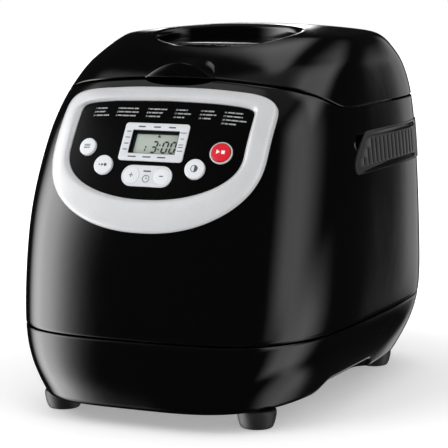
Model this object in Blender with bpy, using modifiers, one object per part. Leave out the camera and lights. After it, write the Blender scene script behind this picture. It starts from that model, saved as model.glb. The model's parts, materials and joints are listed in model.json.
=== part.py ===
"""A domestic bread machine, built as the separate pieces it comes apart into.

Metres, +Z up, front towards -Y.  The origin is on the table under the middle of the machine.  The outer form is
a stack of squarish ovals, listed in STATIONS; the housing, base tray and lid are all cut from that one form.
"""
import math

import bmesh
import bpy
from mathutils import Matrix, Vector

# ---- driving dimensions -------------------------------------------------------------------------------------
GAP = 0.0003                  # clearance between faces that touch
SHELL = 0.0024                # wall of the plastic mouldings
SQUARENESS = 3.68             # exponent of the plan outline; 2 would be an ellipse
RING = 40                     # points round each plan outline

# height, half width, front, rear
STATIONS = (
    (0.0140, 0.1030, -0.1750, 0.1760),
    (0.0340, 0.1150, -0.1800, 0.1800),
    (0.0550, 0.1240, -0.1770, 0.1810),
    (0.0800, 0.1275, -0.1720, 0.1780),
    (0.1150, 0.1275, -0.1680, 0.1730),
    (0.1550, 0.1270, -0.1590, 0.1680),
    (0.2000, 0.1232, -0.1370, 0.1650),
    (0.2200, 0.1200, -0.1235, 0.1640),
    (0.2350, 0.1168, -0.1105, 0.1630),
    (0.2480, 0.1130, -0.0950, 0.1580),
    (0.2580, 0.1100, -0.0790, 0.1500),
    (0.2660, 0.1060, -0.0620, 0.1400),
    (0.2720, 0.1020, -0.0470, 0.1330),
    (0.2765, 0.0985, -0.0340, 0.1290),
    (0.2790, 0.0960, -0.0260, 0.1270),
)
BASE_Z = STATIONS[0][0]
ROOF_Z = STATIONS[-1][0]
ROOF_CROWN = 0.0075           # rise of the roof above its edge
PARTING_Z = 0.0650            # joint between base tray and housing
PARTING_GAP = 0.0012
ARCH_RISE = 0.0090            # hand holds under the long sides
ARCH_Y = (-0.075, 0.045)

LID_SIDE_Z = 0.2275           # lid line along the sides
LID_FRONT_RISE = 0.0145
LID_FRONT_CROWN = 0.0075
LID_STEP_Y = (-0.046, -0.090)
LID_CORNER_X = 0.095
LID_GAP = 0.0012
HINGE_Y = 0.1690
HINGE_Z = 0.2285
PIN_RADIUS = 0.0015
KNUCKLE_RADIUS = 0.0036

WINDOW = (0.0565, 0.0405)     # half length and half depth of the window well at the roof
WINDOW_Y = -0.0040
WELL_FLOOR = (0.0490, 0.0335)
WELL_FLOOR_Z = 0.2745
WELL_WALL = 0.0014
LIP_HALF = 0.0285             # the finger lip at the lid's front edge
LIP_RISE = 0.0108
LIP_REACH = 0.0034
SHELF_RISE = 0.0132
DIP_CENTRE = (0.0, -0.0935, 0.2500)
DIP_RADII = (0.0290, 0.0120, 0.0056)

PANEL_ORIGIN = (0.0, -0.1370, 0.2000)
PANEL_TILT = math.radians(32.0)
FASCIA = dict(half_width=0.0700, middle=0.0, top=0.0420, crown=0.0030, bottom=-0.0375, roundness=2.15,
              corner=22.0)
BEZEL = dict(half_width=0.0860, middle=0.004, top=0.0560, crown=0.0050, bottom=-0.0620, roundness=2.25,
             corner=10.0)
FASCIA_LIFT = (0.0005, 0.0020)
BUTTON_FOOT = -0.0045         # ends of a button's stem, along the panel's normal
BUTTON_TOP = 0.0042
BUTTONS = {                   # place on the panel, radius
    "menu_button": (-0.0535, 0.0007, 0.0068),
    "weight_button": (-0.0370, -0.0135, 0.0075),
    "timer_plus_button": (-0.0122, -0.0206, 0.0066),
    "timer_minus_button": (0.0122, -0.0206, 0.0066),
    "crust_button": (0.0370, -0.0135, 0.0077),
    "start_button": (0.0540, 0.0007, 0.0072),
}
TIMER_RADIUS = 0.0078
LCD_PLACE = (0.0, 0.0058)
LCD_HALF = (0.0257, 0.0150)
LCD_GLASS_HALF = (0.0188, 0.0092)

VENT_OPENING = ((-0.026, 0.098), (0.1840, 0.2030))  # front and rear, low and high
VENT_Z = (0.1785, 0.2087)
VENT_Y = (-0.0466, 0.1180)
VENT_SLOTS = 14
VENT_PITCH = 0.0088
VENT_SLOT = 0.0036

CHAMBER_Y = 0.0400
CHAMBER_HALF = (0.1000, 0.0830)
CHAMBER_FLOOR = 0.0570
DECK_TOP = 0.2150
ELEMENT_HALF = (0.0910, 0.0740)
ELEMENT_LEGS = 0.0120
ELEMENT_Z = 0.0710
ELEMENT_RADIUS = 0.0032
PAN_HALF = (0.0860, 0.0660)
PAN_FOOT_HALF = (0.0780, 0.0580)
PAN_FLOOR = 0.0795
PAN_TOP = 0.2000
BAIL_Z = 0.1940
BAIL_X = 0.0935
BAIL_ARM = 0.0440
BAIL_REST = math.radians(14.5)
BAIL_WIRE = 0.0022
MOTOR_Y = -0.0980
BELT_Z = 0.0305
WHEEL_RADIUS = 0.0420
MOTOR_PULLEY_RADIUS = 0.0070  # one sixth of the large wheel
FOOT_X = 0.0800
FOOT_Y = (-0.1300, 0.1160)
SCREW_PLACES = ((-0.088, -0.060), (0.088, -0.060), (-0.088, 0.060), (0.088, 0.060))

BLACK = ((0.012, 0.012, 0.013), 0.12, 0.0)
DARK = ((0.03, 0.03, 0.032), 0.45, 0.0)
SILVER = ((0.62, 0.63, 0.65), 0.3, 0.6)
LIGHT = ((0.62, 0.64, 0.67), 0.4, 0.0)
RED = ((0.62, 0.01, 0.03), 0.35, 0.0)
STEEL = ((0.6, 0.6, 0.6), 0.25, 1.0)
COATED = ((0.06, 0.06, 0.065), 0.5, 0.3)
RUBBER = ((0.02, 0.02, 0.02), 0.8, 0.0)
BOARD = ((0.05, 0.2, 0.08), 0.6, 0.0)
GLASS = ((0.75, 0.8, 0.8), 0.05, 0.0)
SCREEN = ((0.3, 0.36, 0.33), 0.2, 0.0)
COPPER = ((0.6, 0.3, 0.15), 0.4, 0.6)


# ---- scene and materials ------------------------------------------------------------------------------------
def clear_scene():
    for old in list(bpy.data.objects):
        bpy.data.objects.remove(old, do_unlink=True)


clear_scene()
MACHINE = bpy.data.collections.new("bread_machine")
CUTTERS = bpy.data.collections.new("cutters")
bpy.context.scene.collection.children.link(MACHINE)
bpy.context.scene.collection.children.link(CUTTERS)


def material(look):
    """One Principled material for each look, shared by the pieces that have it."""
    colour, roughness, metallic = look
    name = "look_%02d_%02d_%02d" % tuple(round(c * 99) for c in colour)
    made = bpy.data.materials.get(name)
    if made is None:
        made = bpy.data.materials.new(name)
        made.use_nodes = True
        shader = made.node_tree.nodes["Principled BSDF"]
        shader.inputs["Base Color"].default_value = (*colour, 1.0)
        shader.inputs["Roughness"].default_value = roughness
        shader.inputs["Metallic"].default_value = metallic
    return made


def add_object(name, data, look=None, parent=None):
    """A part when it has a look, and a cutter when it hasn't."""
    made = bpy.data.objects.new(name, data)
    if look is None:
        CUTTERS.objects.link(made)
        made.hide_render = True
        made.display_type = "WIRE"
    else:
        MACHINE.objects.link(made)
        data.materials.append(material(look))
    if parent is not None:
        made.parent = parent
        made.matrix_parent_inverse = parent.matrix_world.inverted()
    return made


def pivot(name, place):
    """An empty on a joint's axis."""
    made = bpy.data.objects.new(name, None)
    made.location = place
    MACHINE.objects.link(made)
    bpy.context.view_layer.update()
    return made


def mesh_from(name, bm):
    bmesh.ops.recalc_face_normals(bm, faces=bm.faces)
    data = bpy.data.meshes.new(name)
    bm.to_mesh(data)
    bm.free()
    return data


def smooth(obj):
    obj.data.shade_smooth()
    obj.data.set_sharp_from_angle(angle=math.radians(35))
    return obj


# ---- modelling helpers --------------------------------------------------------------------------------------
def loft(name, rings, look, first_cap=False, last_cap=False, closed=False, parent=None):
    """A skin through rings of equal count; it faces out when the rings run anticlockwise and climb."""
    bm = bmesh.new()
    rows = [[bm.verts.new(point) for point in ring] for ring in rings]
    pairs = list(zip(rows, rows[1:]))
    if closed:
        pairs.append((rows[-1], rows[0]))
    for low, high in pairs:
        for i in range(len(low)):
            j = (i + 1) % len(low)
            bm.faces.new((low[i], low[j], high[j], high[i]))
    if first_cap:
        bm.faces.new(list(reversed(rows[0])))
    if last_cap:
        bm.faces.new(rows[-1])
    data = bpy.data.meshes.new(name)
    bm.to_mesh(data)
    bm.free()
    return add_object(name, data, look, parent)


def thicken(obj, thickness):
    """Material on the back of an open skin."""
    shell = obj.modifiers.new("wall", "SOLIDIFY")
    shell.thickness = thickness
    shell.offset = -1.0
    shell.use_even_offset = True
    return obj


def bevel(obj, width, segments=1):
    edge = obj.modifiers.new("edges", "BEVEL")
    edge.width = width
    edge.segments = segments
    edge.limit_method = "ANGLE"
    return obj


def boolean(obj, other, operation="DIFFERENCE"):
    cut = obj.modifiers.new("cut", "BOOLEAN")
    cut.operation = operation
    cut.object = other
    cut.solver = "EXACT"
    return obj


def box(name, low, high, look=None, parent=None, matrix=None):
    """A box between two corners, in world axes or in the axes of a matrix."""
    low, high = Vector(low), Vector(high)
    bm = bmesh.new()
    bmesh.ops.create_cube(bm, size=1.0)
    size = high - low
    bmesh.ops.scale(bm, vec=size, verts=bm.verts)
    bmesh.ops.translate(bm, vec=(low + high) / 2, verts=bm.verts)
    if matrix is not None:
        bmesh.ops.transform(bm, matrix=matrix, verts=bm.verts)
    return add_object(name, mesh_from(name, bm), look, parent)


def turned(name, profile, look=None, place=(0, 0, 0), steps=24, parent=None, matrix=None):
    """A profile of (radius, height) points turned about Z, listed outer side first and downwards.

    A profile that starts and ends on the axis makes a solid piece; any other is closed into a ring.
    """
    bm = bmesh.new()
    points = [bm.verts.new((radius, 0, height)) for radius, height in profile]
    on_axis = profile[0][0] == 0 and profile[-1][0] == 0
    following = points[1:] if on_axis else points[1:] + points[:1]
    for here, there in zip(points, following):
        bm.edges.new((here, there))
    data = bpy.data.meshes.new(name)
    bm.to_mesh(data)
    bm.free()
    made = add_object(name, data, look)
    made.matrix_world = matrix if matrix is not None else Matrix.Translation(place)
    bpy.context.view_layer.update()
    if parent is not None:
        made.parent = parent
        made.matrix_parent_inverse = parent.matrix_world.inverted()
    screw = made.modifiers.new("turn", "SCREW")
    screw.steps = steps
    screw.render_steps = steps
    screw.use_merge_vertices = True
    screw.merge_threshold = 0.00001
    screw.use_smooth_shade = True
    return made


def rod(name, radius, low, high, look=None, place=(0, 0, 0), sides=20, parent=None, matrix=None, top=None):
    """A solid cylinder or cone along local Z, from low to high."""
    bm = bmesh.new()
    bmesh.ops.create_cone(bm, cap_ends=True, segments=sides, radius1=radius, depth=high - low,
                          radius2=radius if top is None else top)
    bmesh.ops.translate(bm, vec=(0, 0, (low + high) / 2), verts=bm.verts)
    move = matrix if matrix is not None else Matrix.Translation(place)
    bmesh.ops.transform(bm, matrix=move, verts=bm.verts)
    return smooth(add_object(name, mesh_from(name, bm), look, parent))


def tube(name, inner, outer, low, high, look, place=(0, 0, 0), steps=24, parent=None, matrix=None):
    profile = ((outer, high), (outer, low), (inner, low), (inner, high))
    return turned(name, profile, look, place, steps, parent, matrix)


def flat_outline(name, outlines, low, high, look=None, matrix=None):
    """A plate at a height, from an outer outline and any holes, each a list of (x, y)."""
    curve = bpy.data.curves.new(name, "CURVE")
    curve.dimensions = "2D"
    curve.fill_mode = "BOTH"
    curve.extrude = (high - low) / 2
    for outline in outlines:
        spline = curve.splines.new("POLY")
        spline.points.add(len(outline) - 1)
        for point, (x, y) in zip(spline.points, outline):
            point.co = (x, y, 0, 1)
        spline.use_cyclic_u = True
    made = add_object(name, curve, look)
    lift = Matrix.Translation((0, 0, (low + high) / 2))
    made.matrix_world = lift if matrix is None else matrix @ lift
    return made


def wire(name, points, radius, look, parent=None):
    """A round bar along a list of points, with filled ends."""
    curve = bpy.data.curves.new(name, "CURVE")
    curve.dimensions = "3D"
    curve.bevel_depth = radius
    curve.bevel_resolution = 2
    curve.use_fill_caps = True
    spline = curve.splines.new("POLY")
    spline.points.add(len(points) - 1)
    for point, place in zip(spline.points, points):
        point.co = (*place, 1)
    return add_object(name, curve, look, parent)


# ---- the outer form -----------------------------------------------------------------------------------------
def outer_at(z):
    """Half width, front and rear of the form at height z, on a smooth curve through the stations."""
    last = len(STATIONS) - 1
    i = min(sum(1 for row in STATIONS[1:] if row[0] <= z), last - 1)
    low, high = STATIONS[i], STATIONS[i + 1]
    before, after = STATIONS[max(i - 1, 0)], STATIONS[min(i + 2, last)]
    span = high[0] - low[0]
    t = min(max((z - low[0]) / span, 0.0), 1.0)
    values = []
    for k in (1, 2, 3):
        start = span * (high[k] - before[k]) / (high[0] - before[0])
        end = span * (after[k] - low[k]) / (after[0] - low[0])
        values.append(low[k] * (2 * t ** 3 - 3 * t ** 2 + 1) + start * (t ** 3 - 2 * t ** 2 + t)
                      + high[k] * (3 * t ** 2 - 2 * t ** 3) + end * (t ** 3 - t ** 2))
    return values


def signed_power(value, power):
    return math.copysign(abs(value) ** power, value)


def oval(half_x, half_y, middle_y, z, count=RING, squareness=SQUARENESS):
    """A ring of points on a squarish oval, anticlockwise."""
    power = 2.0 / squareness
    angles = [2 * math.pi * i / count for i in range(count)]
    return [Vector((half_x * signed_power(math.cos(a), power),
                    middle_y + half_y * signed_power(math.sin(a), power), z)) for a in angles]


def outer_point(i, z, inset=0.0, count=RING):
    half_width, front, rear = outer_at(z)
    return oval(half_width - inset, (rear - front) / 2 - inset, (rear + front) / 2, z, count)[i]


def outer_ring(z, inset=0.0):
    return [outer_point(i, z, inset) for i in range(RING)]


def ramp(value, start, end):
    t = min(max((value - start) / (end - start), 0.0), 1.0)
    return t * t * (3 - 2 * t)


def lid_line(x, y):
    """Height of the joint between housing and lid: level at the sides and rear, higher over the panel."""
    front = ramp(y, *LID_STEP_Y)
    arch = max(0.0, 1 - (x / LID_CORNER_X) ** 2)
    return LID_SIDE_Z + front * (LID_FRONT_RISE + LID_FRONT_CROWN * arch)


def lid_line_ring(lift=0.0, share=1.0, floor=0.0):
    """Points of the outer form at the lid line, or part of the way up to it from a lower level."""
    ring = []
    for i in range(RING):
        z = LID_SIDE_Z
        for _ in range(12):
            point = outer_point(i, z)
            z = (z + lid_line(point.x, point.y)) / 2
        ring.append(outer_point(i, floor + (z + lift - floor) * share))
    return ring


def form_value(point):
    """Negative inside the outer form and positive outside it."""
    half_width, front, rear = outer_at(point.z)
    across = abs(point.x / half_width) ** SQUARENESS
    along = abs((point.y - (rear + front) / 2) / ((rear - front) / 2)) ** SQUARENESS
    return across + along - 1


def roof_height(x, y):
    """Height of the lid's outer surface over a place in plan."""
    half_width, front, rear = outer_at(ROOF_Z)
    reach = (abs(x / half_width) ** SQUARENESS
             + abs((y - (rear + front) / 2) / ((rear - front) / 2)) ** SQUARENESS) ** (1 / SQUARENESS)
    if reach <= 1:
        return ROOF_Z + ROOF_CROWN * (1 - reach ** 2)
    low, high = LID_SIDE_Z, ROOF_Z
    for _ in range(30):
        middle = (low + high) / 2
        if form_value(Vector((x, y, middle))) < 0:
            low = middle
        else:
            high = middle
    return low


PANEL_UP = Vector((0, math.sin(PANEL_TILT), math.cos(PANEL_TILT)))
PANEL_OUT = Vector((0, -math.cos(PANEL_TILT), math.sin(PANEL_TILT)))


def panel_point(u, v, lift=0.0):
    """The outer form at a place on the sloping front, lifted along the slope's normal."""
    start = Vector(PANEL_ORIGIN) + Vector((u, 0, 0)) + PANEL_UP * v
    low, high = -0.060, 0.040
    for _ in range(36):
        middle = (low + high) / 2
        if form_value(start + PANEL_OUT * middle) < 0:
            low = middle
        else:
            high = middle
    return start + PANEL_OUT * (low + lift)


def panel_matrix(u, v):
    """Axes lying on the sloping front at a place, with Z out of the surface."""
    step = 0.004
    right = (panel_point(u + step, v) - panel_point(u - step, v)).normalized()
    up = (panel_point(u, v + step) - panel_point(u, v - step)).normalized()
    out = right.cross(up).normalized()
    up = out.cross(right)
    frame = Matrix((right, up, out)).transposed().to_4x4()
    frame.translation = panel_point(u, v)
    return frame


def arc(centre, radius, start, end, steps):
    """Points along an arc, from one angle in degrees to another."""
    angles = [math.radians(start + (end - start) * k / steps) for k in range(steps + 1)]
    return [(centre[0] + radius * math.cos(a), centre[1] + radius * math.sin(a)) for a in angles]


def evenly(points, count):
    """The same closed outline with its points at equal distances."""
    steps = [math.dist(a, b) for a, b in zip(points, points[1:] + points[:1])]
    spacing = sum(steps) / count
    even, travelled, i = [], 0.0, 0
    for k in range(count):
        while travelled + steps[i] < k * spacing:
            travelled += steps[i]
            i += 1
        t = (k * spacing - travelled) / steps[i]
        here, there = points[i], points[(i + 1) % len(points)]
        even.append((here[0] + (there[0] - here[0]) * t, here[1] + (there[1] - here[1]) * t))
    return even


def shield(shape, grow=0.0, scale=1.0, count=40):
    """The panel's outline: an arched top with tight corners and a round bottom, as (u, v) points."""
    half = shape["half_width"] * scale + grow
    middle = shape["middle"]
    corner = shape["corner"]
    points = []
    fine = 720
    for i in range(fine):
        angle = 2 * math.pi * i / fine
        c, s = math.cos(angle), math.sin(angle)
        if s >= 0:
            u = half * signed_power(c, 2 / corner)
            top = shape["top"] - shape["crown"] * (u / half) ** 2
            v = middle + ((top - middle) * scale + grow) * abs(s) ** (2 / corner)
        else:
            u = half * signed_power(c, 2 / shape["roundness"])
            v = middle - ((middle - shape["bottom"]) * scale + grow) * abs(s) ** (2 / shape["roundness"])
        points.append((u, v))
    return evenly(points, count)


# ---- housing and base ---------------------------------------------------------------------------------------
def make_base_tray():
    """The lower moulding, with its floor and the hand holds arched into both long sides."""
    def hull_ring(z, share):
        ring = []
        for i in range(RING):
            point = outer_point(i, z)
            along = ramp(point.y, ARCH_Y[0], ARCH_Y[0] + 0.02) * ramp(point.y, ARCH_Y[1], ARCH_Y[1] - 0.02)
            at_side = ramp(abs(point.x), 0.085, 0.100)
            ring.append(outer_point(i, z + ARCH_RISE * share * along * at_side))
        return ring

    floor = [Vector((p.x * 0.9, p.y * 0.94, BASE_Z)) for p in outer_ring(BASE_Z)]
    rings = [floor, hull_ring(BASE_Z, 1.0), hull_ring(0.024, 0.6), hull_ring(0.037, 0.0), outer_ring(0.050),
             outer_ring(PARTING_Z - PARTING_GAP / 2)]
    tray = thicken(loft("base_tray", rings, BLACK, first_cap=True), SHELL)
    holes = bmesh.new()
    for x, y in SCREW_PLACES:
        bmesh.ops.create_cone(holes, cap_ends=True, segments=12, radius1=0.0021, radius2=0.0021, depth=0.02,
                              matrix=Matrix.Translation((x, y, BASE_Z)))
    boolean(tray, add_object("screw_holes", mesh_from("screw_holes", holes)))
    for n, (x, y) in enumerate(SCREW_PLACES):
        seat = BASE_Z - GAP
        profile = ((0.0, 0.0270), (0.0015, 0.0265), (0.0015, seat), (0.0035, seat), (0.0031, seat - 0.0018),
                   (0.0, seat - 0.0021))
        turned("base_screw_%d" % (n + 1), profile, STEEL, (x, y, 0), steps=12)
    for n, (x, y) in enumerate((sx, fy) for fy in FOOT_Y for sx in (-FOOT_X, FOOT_X)):
        name = "foot_%s_%s" % ("front" if y < 0 else "rear", "left" if x < 0 else "right")
        height = BASE_Z - GAP
        profile = ((0.0145, height), (0.0140, 0.0060), (0.0120, 0.0), (0.0040, 0.0), (0.0040, height))
        turned(name, profile, RUBBER, (x, y, 0), steps=16)


def make_housing():
    """The tall shell between base tray and lid, open behind the panel, the grilles and the cord inlet."""
    levels = (PARTING_Z + PARTING_GAP / 2, 0.080, 0.100, 0.128, 0.155, 0.178, 0.200)
    rings = [outer_ring(z) for z in levels]
    rings += [lid_line_ring(share=k, floor=levels[-1]) for k in (0.5, 1.0)]
    housing = thicken(loft("main_housing", rings, BLACK), SHELL)
    outline = shield(FASCIA, scale=0.92, count=32)
    window = [[panel_point(u, v, lift) for u, v in outline] for lift in (-0.012, 0.012)]
    boolean(housing, loft("panel_opening", window, None, first_cap=True, last_cap=True))
    for side in (-1, 1):
        near, far = sorted((side * 0.090, side * 0.135))
        (front, rear), (low, high) = VENT_OPENING
        boolean(housing, box("vent_opening", (near, front, low), (far, rear, high)))
    boolean(housing, finger_dip())
    boolean(housing, rod("inlet_opening", 0.0085, -0.02, 0.02, sides=16, matrix=inlet_matrix()))

    deck_edge = [(p.x, p.y) for p in outer_ring(0.2145, inset=SHELL + 0.0016)]
    mouth = rounded(CHAMBER_HALF[0] + 0.0020, CHAMBER_HALF[1] + 0.0020, 0.024)
    flat_outline("top_deck", (deck_edge, mouth), DECK_TOP - 0.0020, DECK_TOP, DARK)


def inlet_matrix():
    z = 0.110
    turn = Matrix.Rotation(math.radians(-90), 4, "X")
    return Matrix.Translation((-0.070, outer_at(z)[2], z)) @ turn


def make_cord_inlet():
    """The gland that the mains lead would come out of; there is no lead."""
    profile = ((0.0110, 0.0030), (0.0110, 0.0010), (0.0080, 0.0010), (0.0080, -0.0080), (0.0035, -0.0080),
               (0.0035, 0.0030))
    turned("cord_inlet", profile, DARK, steps=16, matrix=inlet_matrix())


def rounded(half_x, half_y, radius, middle_y=CHAMBER_Y, turn=4, flat=3):
    """A rectangle with round corners, as (x, y) points, anticlockwise from its right side."""
    points = []
    for cx, cy, start in ((1, 1, 0), (-1, 1, 90), (-1, -1, 180), (1, -1, 270)):
        centre = (cx * (half_x - radius), middle_y + cy * (half_y - radius))
        points += arc(centre, radius, start, start + 90, turn)
        end = points[-1]
        along = 2 * (half_x if cx * cy > 0 else half_y) - 2 * radius
        way = (-cx, 0) if cx * cy > 0 else (0, -cy)
        for k in range(1, flat + 1):
            step = along * k / (flat + 1)
            points.append((end[0] + way[0] * step, end[1] + way[1] * step))
    return points


def lifted(outline, z):
    return [Vector((x, y, z)) for x, y in outline]


def circle_like(outline, radius, z, middle_y=CHAMBER_Y):
    """A round ring with its points in the directions of another outline's points."""
    ring = []
    for x, y in outline:
        way = Vector((x, y - middle_y)).normalized()
        ring.append(Vector((way.x * radius, middle_y + way.y * radius, z)))
    return ring


def make_vent_grilles():
    """A slotted plate on each side, following the curve of the housing."""
    columns, rows = 14, 3
    for side, name in ((1, "vent_grille_right"), (-1, "vent_grille_left")):
        bm = bmesh.new()
        grid = []
        for r in range(rows + 1):
            z = VENT_Z[0] + (VENT_Z[1] - VENT_Z[0]) * r / rows
            start = VENT_Y[0] + 0.033 * max(0.0, r / rows - 0.22) ** 1.3
            row = []
            for c in range(columns + 1):
                y = start + (VENT_Y[1] - start) * c / columns
                half_width, front, rear = outer_at(z)
                along = abs((y - (rear + front) / 2) / ((rear - front) / 2)) ** SQUARENESS
                x = half_width * (1 - along) ** (1 / SQUARENESS) + 0.0012
                row.append(bm.verts.new((side * x, y, z)))
            grid.append(row)
        for low, high in zip(grid, grid[1:]):
            for c in range(columns):
                corners = (low[c], low[c + 1], high[c + 1], high[c])
                bm.faces.new(corners if side > 0 else tuple(reversed(corners)))
        data = bpy.data.meshes.new(name)
        bm.to_mesh(data)
        bm.free()
        grille = thicken(add_object(name, data, DARK), 0.0008)
        slots = bmesh.new()
        for n in range(VENT_SLOTS):
            y = -0.030 + VENT_PITCH * n
            top = VENT_Z[1] - 0.0050 - max(0.0, 0.0130 - 0.0065 * n)
            bottom = VENT_Z[0] + 0.0050
            move = Matrix.Translation((side * 0.115, y, (top + bottom) / 2))
            bmesh.ops.create_cube(slots, size=1.0,
                                  matrix=move @ Matrix.Diagonal((0.05, VENT_SLOT, top - bottom, 1)))
        boolean(grille, add_object("slots", mesh_from("slots", slots)))


# ---- control panel ------------------------------------------------------------------------------------------
def make_panel():
    """Bezel, fascia, display and buttons on the sloping front."""
    outer, inner = shield(BEZEL), shield(FASCIA, grow=0.0009)
    section = ((0.0, 0.0010), (0.0, 0.0018), (0.18, 0.0032), (0.55, 0.0036), (0.85, 0.0030), (1.0, 0.0020),
               (1.0, 0.0010))
    rings = []
    for across, lift in section:
        rings.append([panel_point(a[0] + (b[0] - a[0]) * across, a[1] + (b[1] - a[1]) * across, lift)
                      for a, b in zip(outer, inner)])
    smooth(loft("panel_bezel", rings, SILVER, closed=True))

    rings = [[panel_point(u * k, v * k, FASCIA_LIFT[1]) for u, v in shield(FASCIA, count=32)]
             for k in (1.0, 0.7, 0.4)]
    fascia = loft("panel_fascia", rings, BLACK, last_cap=True)
    thicken(fascia, FASCIA_LIFT[1] - FASCIA_LIFT[0])
    for name, (u, v, radius) in BUTTONS.items():
        boolean(fascia, rod(name + "_hole", radius + 0.0004, -0.006, 0.006, sides=16, matrix=panel_matrix(u, v)))
    lcd = panel_matrix(*LCD_PLACE)
    wide, tall = LCD_GLASS_HALF
    boolean(fascia, box("lcd_opening", (-wide - 0.0004, -tall - 0.0004, -0.006),
                        (wide + 0.0004, tall + 0.0004, 0.006), matrix=lcd))

    frame = box("lcd_frame", (-LCD_HALF[0], -LCD_HALF[1], 0.0028), (LCD_HALF[0], LCD_HALF[1], 0.0040), LIGHT,
                matrix=lcd)
    boolean(frame, box("lcd_frame_window", (-wide - GAP, -tall - GAP, 0.0), (wide + GAP, tall + GAP, 0.006),
                       matrix=lcd))
    box("lcd_module", (-wide, -tall, -0.0045), (wide, tall, 0.0034), SCREEN, matrix=lcd)

    for name, (u, v, radius) in BUTTONS.items():
        frame_at = panel_matrix(u, v)
        axis = pivot(name.replace("_button", "_axis"), frame_at.translation)
        look = RED if name == "start_button" else LIGHT
        bevel(rod(name, radius, BUTTON_FOOT, BUTTON_TOP, look, sides=16, matrix=frame_at, parent=axis), 0.0006)
    u, v, radius = BUTTONS["start_button"]
    tube("start_ring", radius + 0.0004, radius + 0.0018, 0.0024, 0.0036, SILVER, matrix=panel_matrix(u, v))

    middle = panel_matrix(0.0, BUTTONS["timer_plus_button"][1])
    reach, radius = BUTTONS["timer_minus_button"][0], TIMER_RADIUS
    pill = []
    for side, start in ((1, -90), (-1, 90)):
        pill += arc((side * reach, 0), radius, start, start + 180, 8)
    hole = BUTTONS["timer_minus_button"][2] + 0.0004
    holes = [arc((side * reach, 0), hole, 0, 337.5, 15) for side in (-1, 1)]
    flat_outline("timer_surround", [pill] + holes, 0.0024, 0.0034, LIGHT, middle)

    box("display_board", (-0.052, -0.034, -0.0100), (0.052, 0.013, -0.0084), BOARD, matrix=panel_matrix(0, 0))


# ---- lid ----------------------------------------------------------------------------------------------------
def oval_ring(half, z=None, lift=0.0, count=32):
    """A ring of the window's shape, level, or following the roof."""
    ring = oval(half[0], half[1], WINDOW_Y, 0.0, count, 2.3)
    for point in ring:
        point.z = z if z is not None else roof_height(point.x, point.y) + lift
    return ring


def make_lid():
    hinge = pivot("lid_axis", (0, HINGE_Y, HINGE_Z))
    rings = [lid_line_ring(lift=LID_GAP)]
    for share in (0.3, 0.55, 0.75, 0.9):
        rings.append([outer_point(i, start.z + (ROOF_Z - start.z) * share) for i, start in enumerate(rings[0])])
    rings.append(outer_ring(ROOF_Z))
    middle = Vector((0, (STATIONS[-1][2] + STATIONS[-1][3]) / 2, 0))
    for reach in (0.82, 0.5, 0.2):
        rings.append([Vector((p.x * reach, middle.y + (p.y - middle.y) * reach,
                              ROOF_Z + ROOF_CROWN * (1 - reach ** 2))) for p in outer_ring(ROOF_Z)])
    shell = thicken(loft("lid_shell", rings, BLACK, last_cap=True, parent=hinge), SHELL)
    well = [oval_ring(WINDOW, z) for z in (0.240, 0.300)]
    boolean(shell, loft("window_opening", well, None, first_cap=True, last_cap=True))

    top = (WINDOW[0] - WELL_WALL - 2 * GAP, WINDOW[1] - WELL_WALL - 2 * GAP)
    inner = (WELL_FLOOR[0] - 0.0060, WELL_FLOOR[1] - 0.0060)
    funnel = (oval_ring(top, lift=0.0), oval_ring(WELL_FLOOR, WELL_FLOOR_Z), oval_ring(inner, WELL_FLOOR_Z))
    thicken(loft("window_well", funnel, BLACK, parent=hinge), WELL_WALL)
    glass = [oval_ring(WELL_FLOOR, z) for z in (WELL_FLOOR_Z - 0.0045, WELL_FLOOR_Z - 0.0017)]
    loft("lid_window", glass, GLASS, first_cap=True, last_cap=True, parent=hinge)

    liner = [oval_ring((0.0460, 0.0310), WELL_FLOOR_Z - 0.0055), oval_ring((0.0500, 0.0350), 0.2600)]
    for half_x, front, rear, z in ((0.082, -0.044, 0.108, 0.2560), (0.098, -0.072, 0.134, 0.2400),
                                   (0.104, -0.082, 0.144, 0.2260), (0.105, -0.083, 0.145, 0.2190)):
        liner.append(oval(half_x, (rear - front) / 2, (rear + front) / 2, z, 32))
    thicken(loft("lid_liner", liner[::-1], STEEL, parent=hinge), 0.0008)

    lip = [lip_section(LIP_HALF * math.sin(math.radians(angle))) for angle in range(-90, 91, 15)]
    loft("lid_grip", lip, BLACK, first_cap=True, last_cap=True, parent=hinge)

    for side, name in ((-1, "hinge_leaf_left"), (1, "hinge_leaf_right")):
        knuckle(name, side * 0.028, 0.006, (0.2140, 0.2270), (0.1648, 0.1675))
    knuckle("lid_hinge_leaf", 0.0, 0.0215, (0.2300, 0.2390), (0.1640, 0.1675), hinge)
    turn = Matrix.Translation((0, HINGE_Y, HINGE_Z)) @ Matrix.Rotation(math.radians(90), 4, "Y")
    rod("hinge_pin", PIN_RADIUS, -0.036, 0.036, STEEL, sides=12, matrix=turn)


def face_y(x, z):
    """How far forward the outer form comes at a place seen from the front."""
    half_width, front, rear = outer_at(z)
    bulge = (1 - abs(x / half_width) ** SQUARENESS) ** (1 / SQUARENESS)
    return (rear + front) / 2 - (rear - front) / 2 * bulge


def lip_section(x):
    """The finger lip cut across: an upright front, a ridge, and a shelf running back to the lid's face."""
    low = lid_line(x, LID_STEP_Y[1]) + LID_GAP + GAP
    share = 1 - (x / (LIP_HALF + 0.0005)) ** 2
    ridge = low + max(LIP_RISE * share ** 1.15, 0.0012)
    shelf = max(low + SHELF_RISE * share ** 0.55, ridge + 0.0010)
    front = face_y(x, low) - 0.0006 - LIP_REACH * math.sqrt(share)
    section = [(front, low)]
    for part in (0.0, 0.35, 0.7, 1.0):
        z = low + (shelf - low) * part
        section.append((face_y(x, z) - 1.4 * GAP, z))
    back = section[-1][0]
    section += [(front + (back - front) * 0.4, ridge + (shelf - ridge) * 0.15), (front + 0.0010, ridge),
                (front, ridge)]
    return [Vector((x, y, z)) for y, z in section]


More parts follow.
